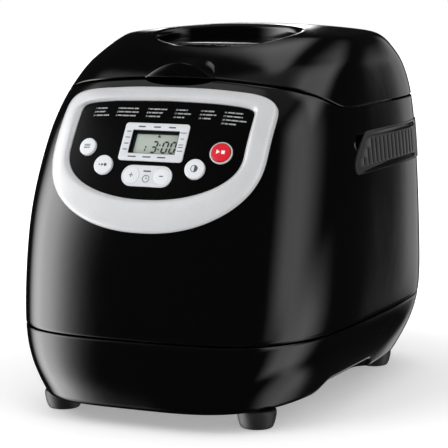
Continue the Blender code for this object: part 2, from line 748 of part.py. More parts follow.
def finger_dip():
    """The shallow hollow in the housing's edge, under the lip."""
    bm = bmesh.new()
    bmesh.ops.create_uvsphere(bm, u_segments=24, v_segments=12, radius=1.0)
    bmesh.ops.scale(bm, vec=DIP_RADII, verts=bm.verts)
    bmesh.ops.translate(bm, vec=DIP_CENTRE, verts=bm.verts)
    return add_object("finger_dip", mesh_from("finger_dip", bm))


def knuckle(name, x, half, heights, depths, parent=None):
    """A leaf with the barrel that runs on the hinge pin."""
    turn = Matrix.Translation((x, HINGE_Y, HINGE_Z)) @ Matrix.Rotation(math.radians(90), 4, "Y")
    barrel = rod(name + "_barrel", KNUCKLE_RADIUS, -half + GAP, half - GAP, sides=16, matrix=turn)
    low, high = sorted((heights[0], heights[1]))
    reach = HINGE_Z if low < HINGE_Z else low
    leaf = box(name, (x - half + GAP, depths[0], min(low, reach)), (x + half - GAP, depths[1] + 0.001,
                                                                    max(high, reach)), STEEL, parent)
    boolean(leaf, barrel, "UNION")
    boolean(leaf, rod(name + "_bore", PIN_RADIUS + GAP, -half - 0.001, half + 0.001, sides=16, matrix=turn))


# ---- baking chamber, pan and drive --------------------------------------------------------------------------
def make_chamber():
    half_x, half_y = CHAMBER_HALF
    mouth = rounded(half_x, half_y, 0.022)
    floor = rounded(half_x - 0.004, half_y - 0.004, 0.020)
    flange = rounded(half_x + 0.0065, half_y + 0.0065, 0.028)
    rings = [lifted(flange, DECK_TOP + 0.0013), lifted(mouth, DECK_TOP + 0.0013), lifted(mouth, 0.064),
             lifted(floor, CHAMBER_FLOOR), circle_like(floor, 0.0075, CHAMBER_FLOOR)]
    chamber = thicken(loft("chamber_liner", rings, STEEL), 0.0010)
    along_y = Matrix.Rotation(math.radians(90), 4, "X")
    for side in (-1, 1):
        place = Matrix.Translation((side * ELEMENT_LEGS, CHAMBER_Y - half_y, ELEMENT_Z)) @ along_y
        boolean(chamber, rod("element_hole", 0.0042, -0.01, 0.01, sides=12, matrix=place))

    loop = rounded(ELEMENT_HALF[0], ELEMENT_HALF[1], 0.024, turn=5, flat=1)
    front = max(i for i, p in enumerate(loop) if abs(p[0]) < 1e-6 and p[1] < CHAMBER_Y)
    tail, bend = CHAMBER_Y - half_y - 0.014, CHAMBER_Y - ELEMENT_HALF[1] - 0.005
    path = [(ELEMENT_LEGS, tail), (ELEMENT_LEGS, bend), (ELEMENT_LEGS + 0.005, bend + 0.005)]
    path += loop[front + 1:] + loop[:front]
    path += [(-ELEMENT_LEGS - 0.005, bend + 0.005), (-ELEMENT_LEGS, bend), (-ELEMENT_LEGS, tail)]
    wire("heating_element", [(x, y, ELEMENT_Z) for x, y in path], ELEMENT_RADIUS, STEEL)
    probe = Matrix.Translation((0.055, CHAMBER_Y - half_y, 0.120)) @ along_y
    rod("temperature_probe", 0.0030, -0.0110, -0.0005, STEEL, sides=12, matrix=probe)


def make_pan():
    """The loaf pan with its bail, its foot casting, and the shaft, dog and paddle that turn in it."""
    lift = pivot("pan_axis", (0, CHAMBER_Y, PAN_FLOOR))
    half_x, half_y = PAN_HALF
    foot_x, foot_y = PAN_FOOT_HALF
    mouth = rounded(half_x - 0.0015, half_y - 0.0015, 0.020)
    lip = rounded(half_x + 0.0030, half_y + 0.0030, 0.0245)
    floor = rounded(foot_x - 0.0045, foot_y - 0.0045, 0.016)
    heel = rounded(foot_x, foot_y, 0.020)
    rings = [lifted(lip, PAN_TOP), lifted(mouth, PAN_TOP), lifted(heel, PAN_FLOOR + 0.005),
             lifted(floor, PAN_FLOOR), circle_like(floor, 0.0044, PAN_FLOOR)]
    thicken(loft("bread_pan", rings, COATED, parent=lift), 0.0015)
    place = (0, CHAMBER_Y, 0)
    under = PAN_FLOOR - 0.0015 - GAP
    tube("pan_foot", 0.0190, 0.0340, CHAMBER_FLOOR + GAP, under, STEEL, place, 24, lift)
    tube("pan_bearing", 0.0043, 0.0186, 0.0675, under, RUBBER, place, 16, lift)
    for side, name in ((-1, "bail_rivet_left"), (1, "bail_rivet_right")):
        turn = Matrix.Translation((side * 0.0889, CHAMBER_Y, BAIL_Z)) @ Matrix.Rotation(math.radians(90), 4, "Y")
        rod(name, 0.0030, -0.0020, 0.0020, STEEL, sides=12, parent=lift, matrix=turn)

    swing = pivot("bail_axis", (0, CHAMBER_Y, BAIL_Z))
    corner = 0.015
    side_run = [(BAIL_X, 0.0), (BAIL_X, (BAIL_ARM - corner) / 2)]
    for k in range(6):
        angle = math.radians(90 * k / 5)
        side_run.append((BAIL_X - corner + corner * math.cos(angle), BAIL_ARM - corner + corner * math.sin(angle)))
    path = side_run + [(-x, reach) for x, reach in reversed(side_run)]
    points = [(x, CHAMBER_Y + reach * math.cos(BAIL_REST), BAIL_Z + reach * math.sin(BAIL_REST))
              for x, reach in path]
    bail = wire("bail_handle", points, BAIL_WIRE, STEEL)
    bail.parent = swing
    bail.matrix_parent_inverse = swing.matrix_world.inverted()

    spin = pivot("paddle_axis", (0, CHAMBER_Y, 0.06))
    rod("pan_shaft", 0.0040, 0.0610, 0.1020, STEEL, place, 16, spin)
    dog = box("pan_dog", (-0.003, CHAMBER_Y - 0.013, 0.0622), (0.003, CHAMBER_Y + 0.013, 0.0664), STEEL, spin)
    boolean(dog, rod("pan_dog_boss", 0.0075, 0.0622, 0.0664, place=place, sides=16), "UNION")
    boolean(dog, rod("pan_dog_bore", 0.0043, 0.05, 0.08, place=place, sides=16))
    paddle = rod("kneading_paddle", 0.0115, PAN_FLOOR + GAP, 0.0985, COATED, place, 20, spin, top=0.0080)
    boolean(paddle, make_blade(), "UNION")
    boolean(paddle, rod("paddle_bore", 0.0043, 0.05, 0.12, place=place, sides=16))


def make_blade():
    """The paddle's blade: a plate that leans back and narrows to its tip."""
    sections = ((0.006, 0.0815, 0.0960, 0.0022), (0.030, 0.0812, 0.1030, 0.0018), (0.048, 0.0812, 0.0950, 0.0014),
                (0.053, 0.0820, 0.0860, 0.0010))
    rings = []
    for x, low, high, half in sections:
        lean = 0.25 * (high - low)
        rings.append([Vector((x, CHAMBER_Y + y, z)) for y, z in (
            (half, low), (half + lean, high), (-half + lean, high), (-half, low))])
    return loft("paddle_blade", rings, None, first_cap=True, last_cap=True)


def belt_loop(grow):
    """The belt's path round both wheels, at a distance outside them, as (x, y) points."""
    span = CHAMBER_Y - MOTOR_Y
    tilt = math.degrees(math.asin((WHEEL_RADIUS - MOTOR_PULLEY_RADIUS) / span))
    points = []
    points += arc((0, CHAMBER_Y), WHEEL_RADIUS + grow, -tilt, 180 + tilt, 20)
    points += arc((0, MOTOR_Y), MOTOR_PULLEY_RADIUS + grow, 180 + tilt, 360 - tilt, 8)
    return points


def make_drive():
    """Motor at the front, belt under the chamber, and the upright shaft that drives the pan's dog."""
    spin = pivot("drive_axis", (0, CHAMBER_Y, 0.03))
    place = (0, CHAMBER_Y, 0)
    disc = rod("drive_coupling", 0.0160, 0.0582, 0.0606, STEEL, place, 20, spin)
    for side in (-1, 1):
        x = sorted((side * 0.0085, side * 0.0140))
        boolean(disc, box("coupling_lug", (x[0], CHAMBER_Y - 0.004, 0.0595), (x[1], CHAMBER_Y + 0.004, 0.0660)),
                "UNION")
    rod("drive_shaft", 0.0050, 0.0250, 0.0579, STEEL, place, 16, spin)
    rim = WHEEL_RADIUS
    profile = ((rim + 0.0015, 0.0345), (rim, 0.0335), (rim, 0.0275), (rim + 0.0015, 0.0265), (0.0053, 0.0265),
               (0.0053, 0.0345))
    turned("belt_wheel", profile, DARK, place, 24, spin)
    tube("drive_bearing", 0.0053, 0.0160, 0.0393, 0.0545, STEEL, place, 20)
    flat_outline("drive_belt", (belt_loop(0.0023), belt_loop(0.0003)), BELT_Z - 0.0025, BELT_Z + 0.0025, RUBBER)
    plate = [(-0.045, -0.140), (0.045, -0.140), (0.045, 0.080), (-0.045, 0.080)]
    holes = [arc((0, y), 0.0065, 0, 337.5, 15) for y in (CHAMBER_Y, MOTOR_Y)]
    flat_outline("drive_bracket", [plate] + holes, 0.0366, 0.0390, STEEL)

    motor = pivot("motor_axis", (0, MOTOR_Y, 0.06))
    place = (0, MOTOR_Y, 0)
    rod("motor_shaft", 0.0030, 0.0255, 0.0920, STEEL, place, 12, motor)
    rim = MOTOR_PULLEY_RADIUS
    profile = ((rim + 0.0012, 0.0345), (rim, 0.0335), (rim, 0.0275), (rim + 0.0012, 0.0265), (0.0033, 0.0265),
               (0.0033, 0.0345))
    turned("motor_pulley", profile, DARK, place, 16, motor)
    tube("motor_rotor", 0.0033, 0.0190, 0.0430, 0.0800, COPPER, place, 20, motor)
    stator = box("motor_stator", (-0.031, MOTOR_Y - 0.031, 0.0393), (0.031, MOTOR_Y + 0.031, 0.0840), STEEL)
    boolean(stator, rod("stator_bore", 0.0196, 0.0, 0.12, place=place, sides=20))
    rod("run_capacitor", 0.0130, 0.0171, 0.0560, LIGHT, (0.066, MOTOR_Y - 0.010, 0), 16)
    box("power_board", (-0.050, -0.1466, 0.0900), (0.050, -0.1450, 0.1400), BOARD)


make_base_tray()
make_housing()
make_cord_inlet()
make_vent_grilles()
make_panel()
make_lid()
make_chamber()
make_pan()
make_drive()
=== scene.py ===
"""The looks of a domestic bread machine: its glossy mouldings, panel, lid, pan and every finish on them.

Metres, +Z up, front towards -Y, origin on the table under the middle of the machine.
"""
import json
import math

import bmesh
import bpy
import numpy as np
from mathutils import Matrix, Vector


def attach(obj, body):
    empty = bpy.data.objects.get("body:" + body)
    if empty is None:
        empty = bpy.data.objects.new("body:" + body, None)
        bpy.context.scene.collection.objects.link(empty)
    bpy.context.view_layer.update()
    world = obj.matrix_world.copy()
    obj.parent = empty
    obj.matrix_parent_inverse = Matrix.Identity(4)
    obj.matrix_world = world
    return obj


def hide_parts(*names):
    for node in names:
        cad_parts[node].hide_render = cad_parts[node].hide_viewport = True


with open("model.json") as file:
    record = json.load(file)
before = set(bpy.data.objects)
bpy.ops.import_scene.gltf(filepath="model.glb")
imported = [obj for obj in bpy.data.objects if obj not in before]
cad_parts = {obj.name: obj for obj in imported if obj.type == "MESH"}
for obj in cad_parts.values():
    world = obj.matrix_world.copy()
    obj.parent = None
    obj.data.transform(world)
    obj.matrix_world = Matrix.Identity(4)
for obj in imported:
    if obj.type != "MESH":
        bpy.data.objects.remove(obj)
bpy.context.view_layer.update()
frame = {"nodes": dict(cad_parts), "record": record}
NODES = frame["nodes"]

# ---- driving dimensions, the same as the frame's ---------------------------------------------------------
SQUARENESS = 3.68
STATIONS = (  # height, half width, front, rear
    (0.0140, 0.1030, -0.1750, 0.1760),
    (0.0340, 0.1150, -0.1800, 0.1800),
    (0.0550, 0.1240, -0.1770, 0.1810),
    (0.0800, 0.1275, -0.1720, 0.1780),
    (0.1150, 0.1275, -0.1680, 0.1730),
    (0.1550, 0.1270, -0.1590, 0.1680),
    (0.2000, 0.1232, -0.1370, 0.1650),
    (0.2200, 0.1200, -0.1235, 0.1640),
    (0.2350, 0.1168, -0.1105, 0.1630),
    (0.2480, 0.1130, -0.0950, 0.1580),
    (0.2580, 0.1100, -0.0790, 0.1500),
    (0.2660, 0.1060, -0.0620, 0.1400),
    (0.2720, 0.1020, -0.0470, 0.1330),
    (0.2765, 0.0985, -0.0340, 0.1290),
    (0.2790, 0.0960, -0.0260, 0.1270),
)
BASE_Z = STATIONS[0][0]
ROOF_Z = STATIONS[-1][0]
ROOF_CROWN = 0.0075
WALL = 0.0024
PARTING_Z = 0.0650
PARTING_GAP = 0.0012
ARCH_RISE = 0.0090
ARCH_Y = (-0.075, 0.045)
LID_SIDE_Z = 0.2275
LID_FRONT_RISE = 0.0145
LID_FRONT_CROWN = 0.0075
LID_STEP_Y = (-0.046, -0.090)
LID_CORNER_X = 0.095
LID_GAP = 0.0012
WINDOW = (0.0565, 0.0405)
WINDOW_Y = -0.0040
WELL_FLOOR = (0.0490, 0.0335)
WINDOW_SQUARENESS = 2.3
GLASS_Z = 0.2728
LIP_HALF = 0.0285             # the finger lip at the lid's front edge
LIP_RISE = 0.0108
LIP_REACH = 0.0034
SHELF_RISE = 0.0132
DIP_CENTRE = (0.0, -0.0935, 0.2500)
DIP_RADII = (0.0290, 0.0120, 0.0056)

PANEL_ORIGIN = np.array((0.0, -0.1370, 0.2000))
PANEL_TILT = math.radians(32.0)
PANEL_UP = np.array((0.0, math.sin(PANEL_TILT), math.cos(PANEL_TILT)))
PANEL_OUT = np.array((0.0, -math.cos(PANEL_TILT), math.sin(PANEL_TILT)))
FASCIA = dict(half_width=0.0700, middle=0.0, top=0.0420, crown=0.0030, bottom=-0.0375, roundness=2.15,
              corner=22.0)
BEZEL = dict(half_width=0.0860, middle=0.004, top=0.0560, crown=0.0050, bottom=-0.0620, roundness=2.25,
             corner=10.0)
FASCIA_LIFT = 0.0014
BUTTONS = {
    "menu_button": (-0.0535, 0.0007, 0.0068),
    "weight_button": (-0.0370, -0.0135, 0.0075),
    "timer_plus_button": (-0.0122, -0.0206, 0.0066),
    "timer_minus_button": (0.0122, -0.0206, 0.0066),
    "crust_button": (0.0370, -0.0135, 0.0077),
    "start_button": (0.0540, 0.0007, 0.0072),
}
BUTTON_TOP = 0.0036
TIMER_RADIUS = 0.0078
LCD_PLACE = (0.0, 0.0058)
LCD_HALF = (0.0257, 0.0150)
LCD_GLASS_HALF = (0.0188, 0.0092)
LCD_DEPTH = -0.0012
VENT_Z = (0.1785, 0.2087)
VENT_Y = (-0.0466, 0.1180)
VENT_SLOTS = 14
VENT_PITCH = 0.0088
VENT_FIRST = -0.0300
VENT_SLOT = 0.0036

CHAMBER_Y = 0.0400
CHAMBER_HALF = (0.1000, 0.0830)
CHAMBER_FLOOR = 0.0570
DECK_TOP = 0.2150
ELEMENT_HALF = (0.0910, 0.0740)
ELEMENT_LEGS = 0.0120
ELEMENT_Z = 0.0710
ELEMENT_RADIUS = 0.0032
PAN_HALF = (0.0860, 0.0660)
PAN_FOOT_HALF = (0.0780, 0.0580)
PAN_FLOOR = 0.0795
PAN_TOP = 0.2000
BAIL_Z = 0.1940
BAIL_X = 0.0935
BAIL_ARM = 0.0440
BAIL_REST = math.radians(14.5)
BAIL_WIRE = 0.0022
FOOT_X = 0.0800
FOOT_Y = (-0.1300, 0.1160)

AROUND = 224                  # columns round the outer form


# ---- shader building -------------------------------------------------------------------------------------
class Socket:
    """A node's output; arithmetic on it adds Math nodes to the same look."""

    def __init__(self, look, out):
        self.look = look
        self.out = out

    def maths(self, operation, *values):
        return self.look.node("ShaderNodeMath", {"operation": operation}, dict(enumerate(values)))

    def __add__(self, other):
        return self.maths("ADD", self, other)

    def __sub__(self, other):
        return self.maths("SUBTRACT", self, other)

    def __rsub__(self, other):
        return self.maths("SUBTRACT", other, self)

    def __mul__(self, other):
        return self.maths("MULTIPLY", self, other)

    __radd__ = __add__
    __rmul__ = __mul__


class Look:
    """A material, or the world, while its nodes are being laid."""

    def __init__(self, name, world=False):
        kind = bpy.data.worlds if world else bpy.data.materials
        self.made = kind.new(name)
        self.made.use_nodes = True
        self.tree = self.made.node_tree
        self.tree.nodes.clear()
        if world:
            return
        self.here = self.node("ShaderNodeTexCoord", output="Object")
        self.shader = self.tree.nodes.new("ShaderNodeBsdfPrincipled")
        ending = self.tree.nodes.new("ShaderNodeOutputMaterial")
        self.tree.links.new(self.shader.outputs[0], ending.inputs[0])

    def node(self, kind, settings=None, sockets=None, output=0):
        """Any node: its type, its settings or a ramp's stops, and the values or links of its sockets."""
        made = self.tree.nodes.new(kind)
        for key, value in (settings or {}).items():
            if key == "stops":
                ramp = made.color_ramp.elements
                while len(ramp) < len(value):
                    ramp.new(0.5)
                for element, (place, colour) in zip(ramp, value):
                    element.position = place
                    element.color = colour
            else:
                setattr(made, key, value)
        for key, value in (sockets or {}).items():
            self.feed(made.inputs[key], value)
        return Socket(self, made.outputs[output])

    def feed(self, target, value):
        if isinstance(value, Socket):
            self.tree.links.new(value.out, target)
        else:
            target.default_value = value

    def noise(self, scale, detail=3.0, roughness=0.55, stretch=None):
        """Noise from 0 to 1 with about `scale` lumps to the metre, drawn out along axes by `stretch`."""
        place = self.here
        if stretch is not None:
            place = self.node("ShaderNodeVectorMath", {"operation": "MULTIPLY"}, {0: self.here, 1: stretch})
        return self.node("ShaderNodeTexNoise", {}, {"Vector": place, "Scale": scale, "Detail": detail,
                                                    "Roughness": roughness})

    def cells(self, scale, output="Distance"):
        return self.node("ShaderNodeTexVoronoi", {}, {"Vector": self.here, "Scale": scale}, output)

    def part(self, axis):
        """One coordinate of the place, in metres."""
        return self.node("ShaderNodeSeparateXYZ", {}, {0: self.here}, axis)

    def smooth_step(self, value, start, end, low=0.0, high=1.0):
        return self.node("ShaderNodeMapRange", {"interpolation_type": "SMOOTHSTEP"},
                         {"Value": value, "From Min": start, "From Max": end, "To Min": low, "To Max": high})

    def blend(self, share, first, second):
        """A colour part of the way between two."""
        return self.node("ShaderNodeMix", {"data_type": "RGBA"}, {0: share, 6: first, 7: second}, 2)

    def bump(self, height, distance, strength=1.0):
        return self.node("ShaderNodeBump", {}, {"Height": height, "Distance": distance, "Strength": strength})

    def finish(self, **sockets):
        """Sets the Principled shader's sockets; an underscore stands for a space in their names."""
        for key, value in sockets.items():
            self.feed(self.shader.inputs[key.replace("_", " ")], value)
        return self.made


def grey(value, alpha=1.0):
    return (value, value, value, alpha)


# ---- materials -------------------------------------------------------------------------------------------
def gloss_black(name="gloss_black", base=0.0016, roughness=0.10, specular=0.5):
    """Polished black moulding: a faint flow ripple, hair-fine polish marks and a little dust."""
    look = Look(name)
    ripple = look.noise(38.0, 2.0)
    dust = look.smooth_step(look.noise(900.0, 2.0), 0.66, 0.80)
    polish = look.noise(420.0, 2.0, stretch=(1.0, 0.25, 4.0))
    colour = look.blend(dust * 0.25, grey(base), grey(0.035))
    rough = roughness + (ripple - 0.5) * 0.05 + dust * 0.10 + (polish - 0.5) * 0.03
    return look.finish(Base_Color=colour, Roughness=rough, IOR=1.5, Specular_IOR_Level=specular,
                       Normal=look.bump(ripple * 0.7 + polish * 0.02, 0.00012))


def soft_black(name="soft_black", base=0.014, roughness=0.42):
    """Fine spark-eroded black moulding."""
    look = Look(name)
    grain = look.noise(1600.0, 4.0, 0.6)
    patch = look.noise(22.0, 2.0)
    colour = look.blend(patch, grey(base * 0.8), grey(base * 1.35))
    return look.finish(Base_Color=colour, Roughness=roughness + (grain - 0.5) * 0.16,
                       Normal=look.bump(grain, 0.00010))


def grille_grey():
    """Dark grey moulding with a satin face."""
    look = Look("grille_grey")
    grain = look.noise(1500.0, 4.0)
    patch = look.noise(30.0, 2.0)
    colour = look.blend(patch, grey(0.020), grey(0.032))
    return look.finish(Base_Color=colour, Roughness=0.30 + (grain - 0.5) * 0.12,
                       Normal=look.bump(grain, 0.00006))


def silver_paint():
    """Silver lacquer: fine flakes under a satin coat, with a faint mottle."""
    look = Look("silver_paint")
    flake = look.cells(2600.0, "Color")
    flake = look.node("ShaderNodeSeparateColor", {}, {0: flake})
    mottle = look.noise(60.0, 3.0)
    colour = look.blend(flake * 0.5 + mottle * 0.5, (0.54, 0.545, 0.555, 1.0), (0.64, 0.645, 0.655, 1.0))
    return look.finish(Base_Color=colour, Metallic=0.10 + flake * 0.10,
                       Roughness=0.34 + (mottle - 0.5) * 0.10 + (flake - 0.5) * 0.08,
                       Specular_IOR_Level=0.12, Normal=look.bump(flake, 0.000015))


def pale_plastic(name, colour, roughness=0.34):
    """Pale satin moulding with a faint grain and slight yellowing in patches."""
    look = Look(name)
    grain = look.noise(1300.0, 4.0)
    patch = look.noise(70.0, 2.0)
    lighter = tuple(min(1.0, c * 1.06) for c in colour) + (1.0,)
    darker = (colour[0] * 0.95, colour[1] * 0.945, colour[2] * 0.93, 1.0)
    return look.finish(Base_Color=look.blend(patch, darker, lighter),
                       Roughness=roughness + (grain - 0.5) * 0.12, Subsurface_Weight=0.0,
                       Normal=look.bump(grain, 0.00003))


def lcd_film():
    """The display's grey-green film with its faint vertical electrodes."""
    look = Look("lcd_film")
    lines = look.node("ShaderNodeTexWave", {"bands_direction": "X"}, {"Vector": look.here, "Scale": 320.0})
    cloud = look.noise(90.0, 2.0)
    colour = look.blend(cloud * 0.7 + lines * 0.15, (0.36, 0.41, 0.36, 1.0), (0.47, 0.52, 0.46, 1.0))
    return look.finish(Base_Color=colour, Roughness=0.22 + cloud * 0.08)


def ink(name, colour, roughness=0.5):
    """Printed ink with the slight unevenness of a screen print."""
    look = Look(name)
    wear = look.noise(1800.0, 3.0)
    lighter = tuple(min(1.0, c * 1.1 + 0.01) for c in colour) + (1.0,)
    return look.finish(Base_Color=look.blend(wear, (*colour, 1.0), lighter),
                       Roughness=roughness + (wear - 0.5) * 0.2)


def rubber():
    """Black rubber, dusty with fine pits."""
    look = Look("rubber")
    pits = look.noise(700.0, 5.0, 0.7)
    dust = look.smooth_step(look.noise(45.0, 3.0), 0.40, 0.75)
    return look.finish(Base_Color=look.blend(dust, grey(0.012), grey(0.030)),
                       Roughness=0.38 + pits * 0.22, Normal=look.bump(pits, 0.00008))


def window_glass():
    """Smoked glass; darkened inside, with wipe marks in its shine."""
    look = Look("window_glass")
    wipe = look.noise(26.0, 3.0, stretch=(1.0, 3.0, 1.0))
    return look.finish(Base_Color=look.blend(wipe, grey(0.010), grey(0.018)), Roughness=0.02 + wipe * 0.05,
                       IOR=1.52, Alpha=0.93 + wipe * 0.03)


def sheet_metal(name, colour, roughness, stretch, scale=500.0):
    """Rolled sheet: brushed one way, with stains and slight waviness."""
    look = Look(name)
    brush = look.noise(scale, 5.0, 0.65, stretch)
    stain = look.noise(18.0, 4.0)
    dark = tuple(c * 0.72 for c in colour) + (1.0,)
    return look.finish(Base_Color=look.blend(stain * 0.6 + brush * 0.4, dark, (*colour, 1.0)), Metallic=1.0,
                       Roughness=roughness + (brush - 0.5) * 0.22 + (stain - 0.5) * 0.10,
                       Normal=look.bump(brush * 0.3 + stain, 0.00006))


def pan_coating():
    """Dark non-stick coating with a fine pale fleck."""
    look = Look("pan_coating")
    fleck = look.smooth_step(look.cells(900.0), 0.02, 0.10)
    grain = look.noise(1200.0, 4.0)
    colour = look.blend(fleck, grey(0.16), grey(0.035))
    return look.finish(Base_Color=colour, Metallic=0.25 * fleck, Roughness=0.36 + (grain - 0.5) * 0.16,
                       Normal=look.bump(grain, 0.00005))


def cast_metal(name, colour, roughness=0.45, metallic=1.0):
    """Cast metal with a pebbly skin."""
    look = Look(name)
    pebble = look.cells(700.0)
    tone = look.noise(40.0, 4.0)
    dark = tuple(c * 0.75 for c in colour) + (1.0,)
    return look.finish(Base_Color=look.blend(tone, dark, (*colour, 1.0)), Metallic=metallic,
                       Roughness=roughness + (tone - 0.5) * 0.2, Normal=look.bump(pebble, 0.00008))


def element_sheath():
    """Heat-blued steel sheath, browner where it runs hottest."""
    look = Look("element_sheath")
    heat = look.noise(14.0, 3.0)
    scale = look.noise(600.0, 4.0)
    tint = look.node("ShaderNodeValToRGB", {"stops": ((0.25, (0.16, 0.14, 0.13, 1.0)),
                                                      (0.55, (0.30, 0.27, 0.25, 1.0)),
                                                      (0.80, (0.20, 0.22, 0.27, 1.0)))}, {0: heat})
    return look.finish(Base_Color=tint, Metallic=0.85 + (scale - 0.5) * 0.2, Roughness=0.42 + (scale - 0.5) * 0.3,
                       Normal=look.bump(scale, 0.00006))


def circuit_board():
    """Green solder resist over a maze of tracks."""
    look = Look("circuit_board")
    track = look.smooth_step(look.cells(260.0), 0.25, 0.30)
    return look.finish(Base_Color=look.blend(track, (0.05, 0.22, 0.09, 1.0), (0.03, 0.13, 0.05, 1.0)),
                       Roughness=0.35 + track * 0.15, Normal=look.bump(track, 0.00004))


def windings():
    """Laminated iron with lacquered copper between."""
    look = Look("windings")
    layers = look.node("ShaderNodeTexWave", {"bands_direction": "Z"}, {"Vector": look.here, "Scale": 160.0})
    return look.finish(Base_Color=look.blend(layers, (0.22, 0.20, 0.19, 1.0), (0.42, 0.40, 0.39, 1.0)),
                       Metallic=0.8 + layers * 0.2, Roughness=0.35 + layers * 0.15,
                       Normal=look.bump(layers, 0.00010))


LOOKS = {
    "body_black": gloss_black(),
    "bezel_silver": silver_paint(),
    "fascia_black": gloss_black("fascia_gloss", 0.0020, 0.28, 0.03),
    "lcd_surround": pale_plastic("plate_pale", (0.60, 0.62, 0.65), 0.36),
    "lcd_screen": lcd_film(),
    "button_grey": pale_plastic("button_pale", (0.66, 0.675, 0.70), 0.30),
    "button_red": pale_plastic("button_red", (0.62, 0.008, 0.022), 0.28),
    "grille_grey": grille_grey(),
    "deck_black": soft_black(),
    "rubber_black": rubber(),
    "window_glass": window_glass(),
    "liner_metal": sheet_metal("liner_sheet", (0.62, 0.62, 0.63), 0.30, (0.08, 1.0, 1.0)),
    "element_steel": element_sheath(),
    "pan_coating": pan_coating(),
    "pan_metal": cast_metal("pan_casting", (0.62, 0.62, 0.62), 0.42),
    "bright_steel": sheet_metal("bright_steel", (0.64, 0.64, 0.65), 0.20, (1.0, 1.0, 0.1), 900.0),
    "motor_iron": windings(),
    "board_green": circuit_board(),
    "capacitor_white": pale_plastic("capacitor_sleeve", (0.72, 0.71, 0.66), 0.40),
}
INK_WHITE = ink("ink_white", (0.78, 0.79, 0.80))
INK_LIST = ink("ink_list", (0.42, 0.43, 0.44))
INK_DARK = ink("ink_dark", (0.045, 0.05, 0.065))
INK_LCD = ink("ink_lcd", (0.012, 0.016, 0.020), 0.30)
# Dark moulding for the display's shroud, kept dark also as painted shade inside the recess.
SHROUD_PAINTED_SHADE = soft_black("lcd_shroud_painted_shade", 0.012, 0.5)


# ---- pieces ----------------------------------------------------------------------------------------------
def piece(name, data, body, slot, replaces=(), look=None, matrix=None, sharp=38.0):
    """Makes an object of a mesh, smooth-shaded but for its corners, and hands it to its body."""
    data.shade_smooth()
    data.set_sharp_from_angle(angle=math.radians(sharp))
    data.materials.clear()
    data.materials.append(look or LOOKS[slot])
    made = bpy.data.objects.new(name, data)
    bpy.context.scene.collection.objects.link(made)
    if matrix is not None:
        data.transform(matrix)
    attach(made, body)
    if replaces:
        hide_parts(*replaces)
    return made


def skin(name, rows, closed_rows=False, first_cap=False, last_cap=False, flip=False):
    """A mesh through rings of equal count, which run anticlockwise and climb."""
    rows = np.asarray(rows, float)
    count, around = rows.shape[:2]
    index = np.arange(count * around).reshape(count, around)
    low, high = index[:-1], index[1:]
    if closed_rows:
        low, high = index, np.roll(index, -1, axis=0)
    quads = np.stack((low, np.roll(low, -1, axis=1), np.roll(high, -1, axis=1), high), axis=-1).reshape(-1, 4)
    faces = quads.tolist()
    if first_cap:
        faces.append(index[0, ::-1].tolist())
    if last_cap:
        faces.append(index[-1].tolist())
    data = bpy.data.meshes.new(name)
    data.from_pydata(rows.reshape(-1, 3).tolist(), [], faces)
    if flip:
        data.flip_normals()
    data.validate()
    return data


def level(xy, z):
    """Places in plan as a row of points at one height, or at a height each."""
    return np.column_stack((xy, np.full(len(xy), z)))


def spline(points, count):
    """Points on a uniform cubic B-spline that starts and ends on its first and last control rows."""
    rows = np.asarray(points, float)
    rows = np.concatenate(([2 * rows[0] - rows[1]], rows, [2 * rows[-1] - rows[-2]]))
    t = np.linspace(0, len(points) - 1, count)
    i = np.minimum(t.astype(int), len(points) - 2)
    f = (t - i).reshape((-1,) + (1,) * (rows.ndim - 1))
    return ((1 - f) ** 3 * rows[i] + (3 * f ** 3 - 6 * f ** 2 + 4) * rows[i + 1]
            + (1 + 3 * f + 3 * f ** 2 - 3 * f ** 3) * rows[i + 2] + f ** 3 * rows[i + 3]) / 6


def lathe(name, profile, around=48):
    """A solid of revolution about Z from (radius, height) points that climb; ends off the axis are capped."""
    angles = np.linspace(0, 2 * math.pi, around, endpoint=False)
    rows = [[(r * math.cos(a), r * math.sin(a), z) for a in angles] for r, z in profile]
    return skin(name, rows, first_cap=True, last_cap=True)


def ring_lathe(name, profile, around=48):
    """A closed profile of (radius, height) points, turned about Z; the outer side climbs."""
    angles = np.linspace(0, 2 * math.pi, around, endpoint=False)
    rows = [[(r * math.cos(a), r * math.sin(a), z) for a in angles] for r, z in profile]
    return skin(name, rows, closed_rows=True)


def rounded_profile(points, radius, steps=4):
    """An open profile with its inner corners rounded off."""
    points = [Vector((p[0], p[1])) for p in points]
    made = [points[0]]
    for before, corner, after in zip(points, points[1:], points[2:]):
        reach = min(radius, (before - corner).length / 2, (after - corner).length / 2)
        start = corner + (before - corner).normalized() * reach
        end = corner + (after - corner).normalized() * reach
        for k in range(steps + 1):
            t = k / steps
            made.append(start * (1 - t) ** 2 + corner * 2 * t * (1 - t) + end * t ** 2)
    made.append(points[-1])
    return [(p.x, p.y) for p in made]


def pipe(name, points, radius, sides=16):
    """A round bar along points, with rounded ends."""
    curve = bpy.data.curves.new(name, "CURVE")
    curve.dimensions = "3D"
    curve.bevel_depth = radius
    curve.bevel_resolution = sides // 4
    curve.use_fill_caps = True
    line = curve.splines.new("POLY")
    line.points.add(len(points) - 1)
    for point, place in zip(line.points, points):
        point.co = (*place, 1)
    return mesh_of(curve)


def mesh_of(curve):
    """A curve's mesh, with its caps joined on."""
    holder = bpy.data.objects.new(curve.name, curve)
    bpy.context.scene.collection.objects.link(holder)
    bpy.context.view_layer.update()
    data = bpy.data.meshes.new_from_object(holder.evaluated_get(bpy.context.evaluated_depsgraph_get()))
    bpy.data.objects.remove(holder)
    bm = bmesh.new()
    bm.from_mesh(data)
    bmesh.ops.remove_doubles(bm, verts=bm.verts, dist=1e-6)
    bm.to_mesh(data)
    bm.free()
    return data


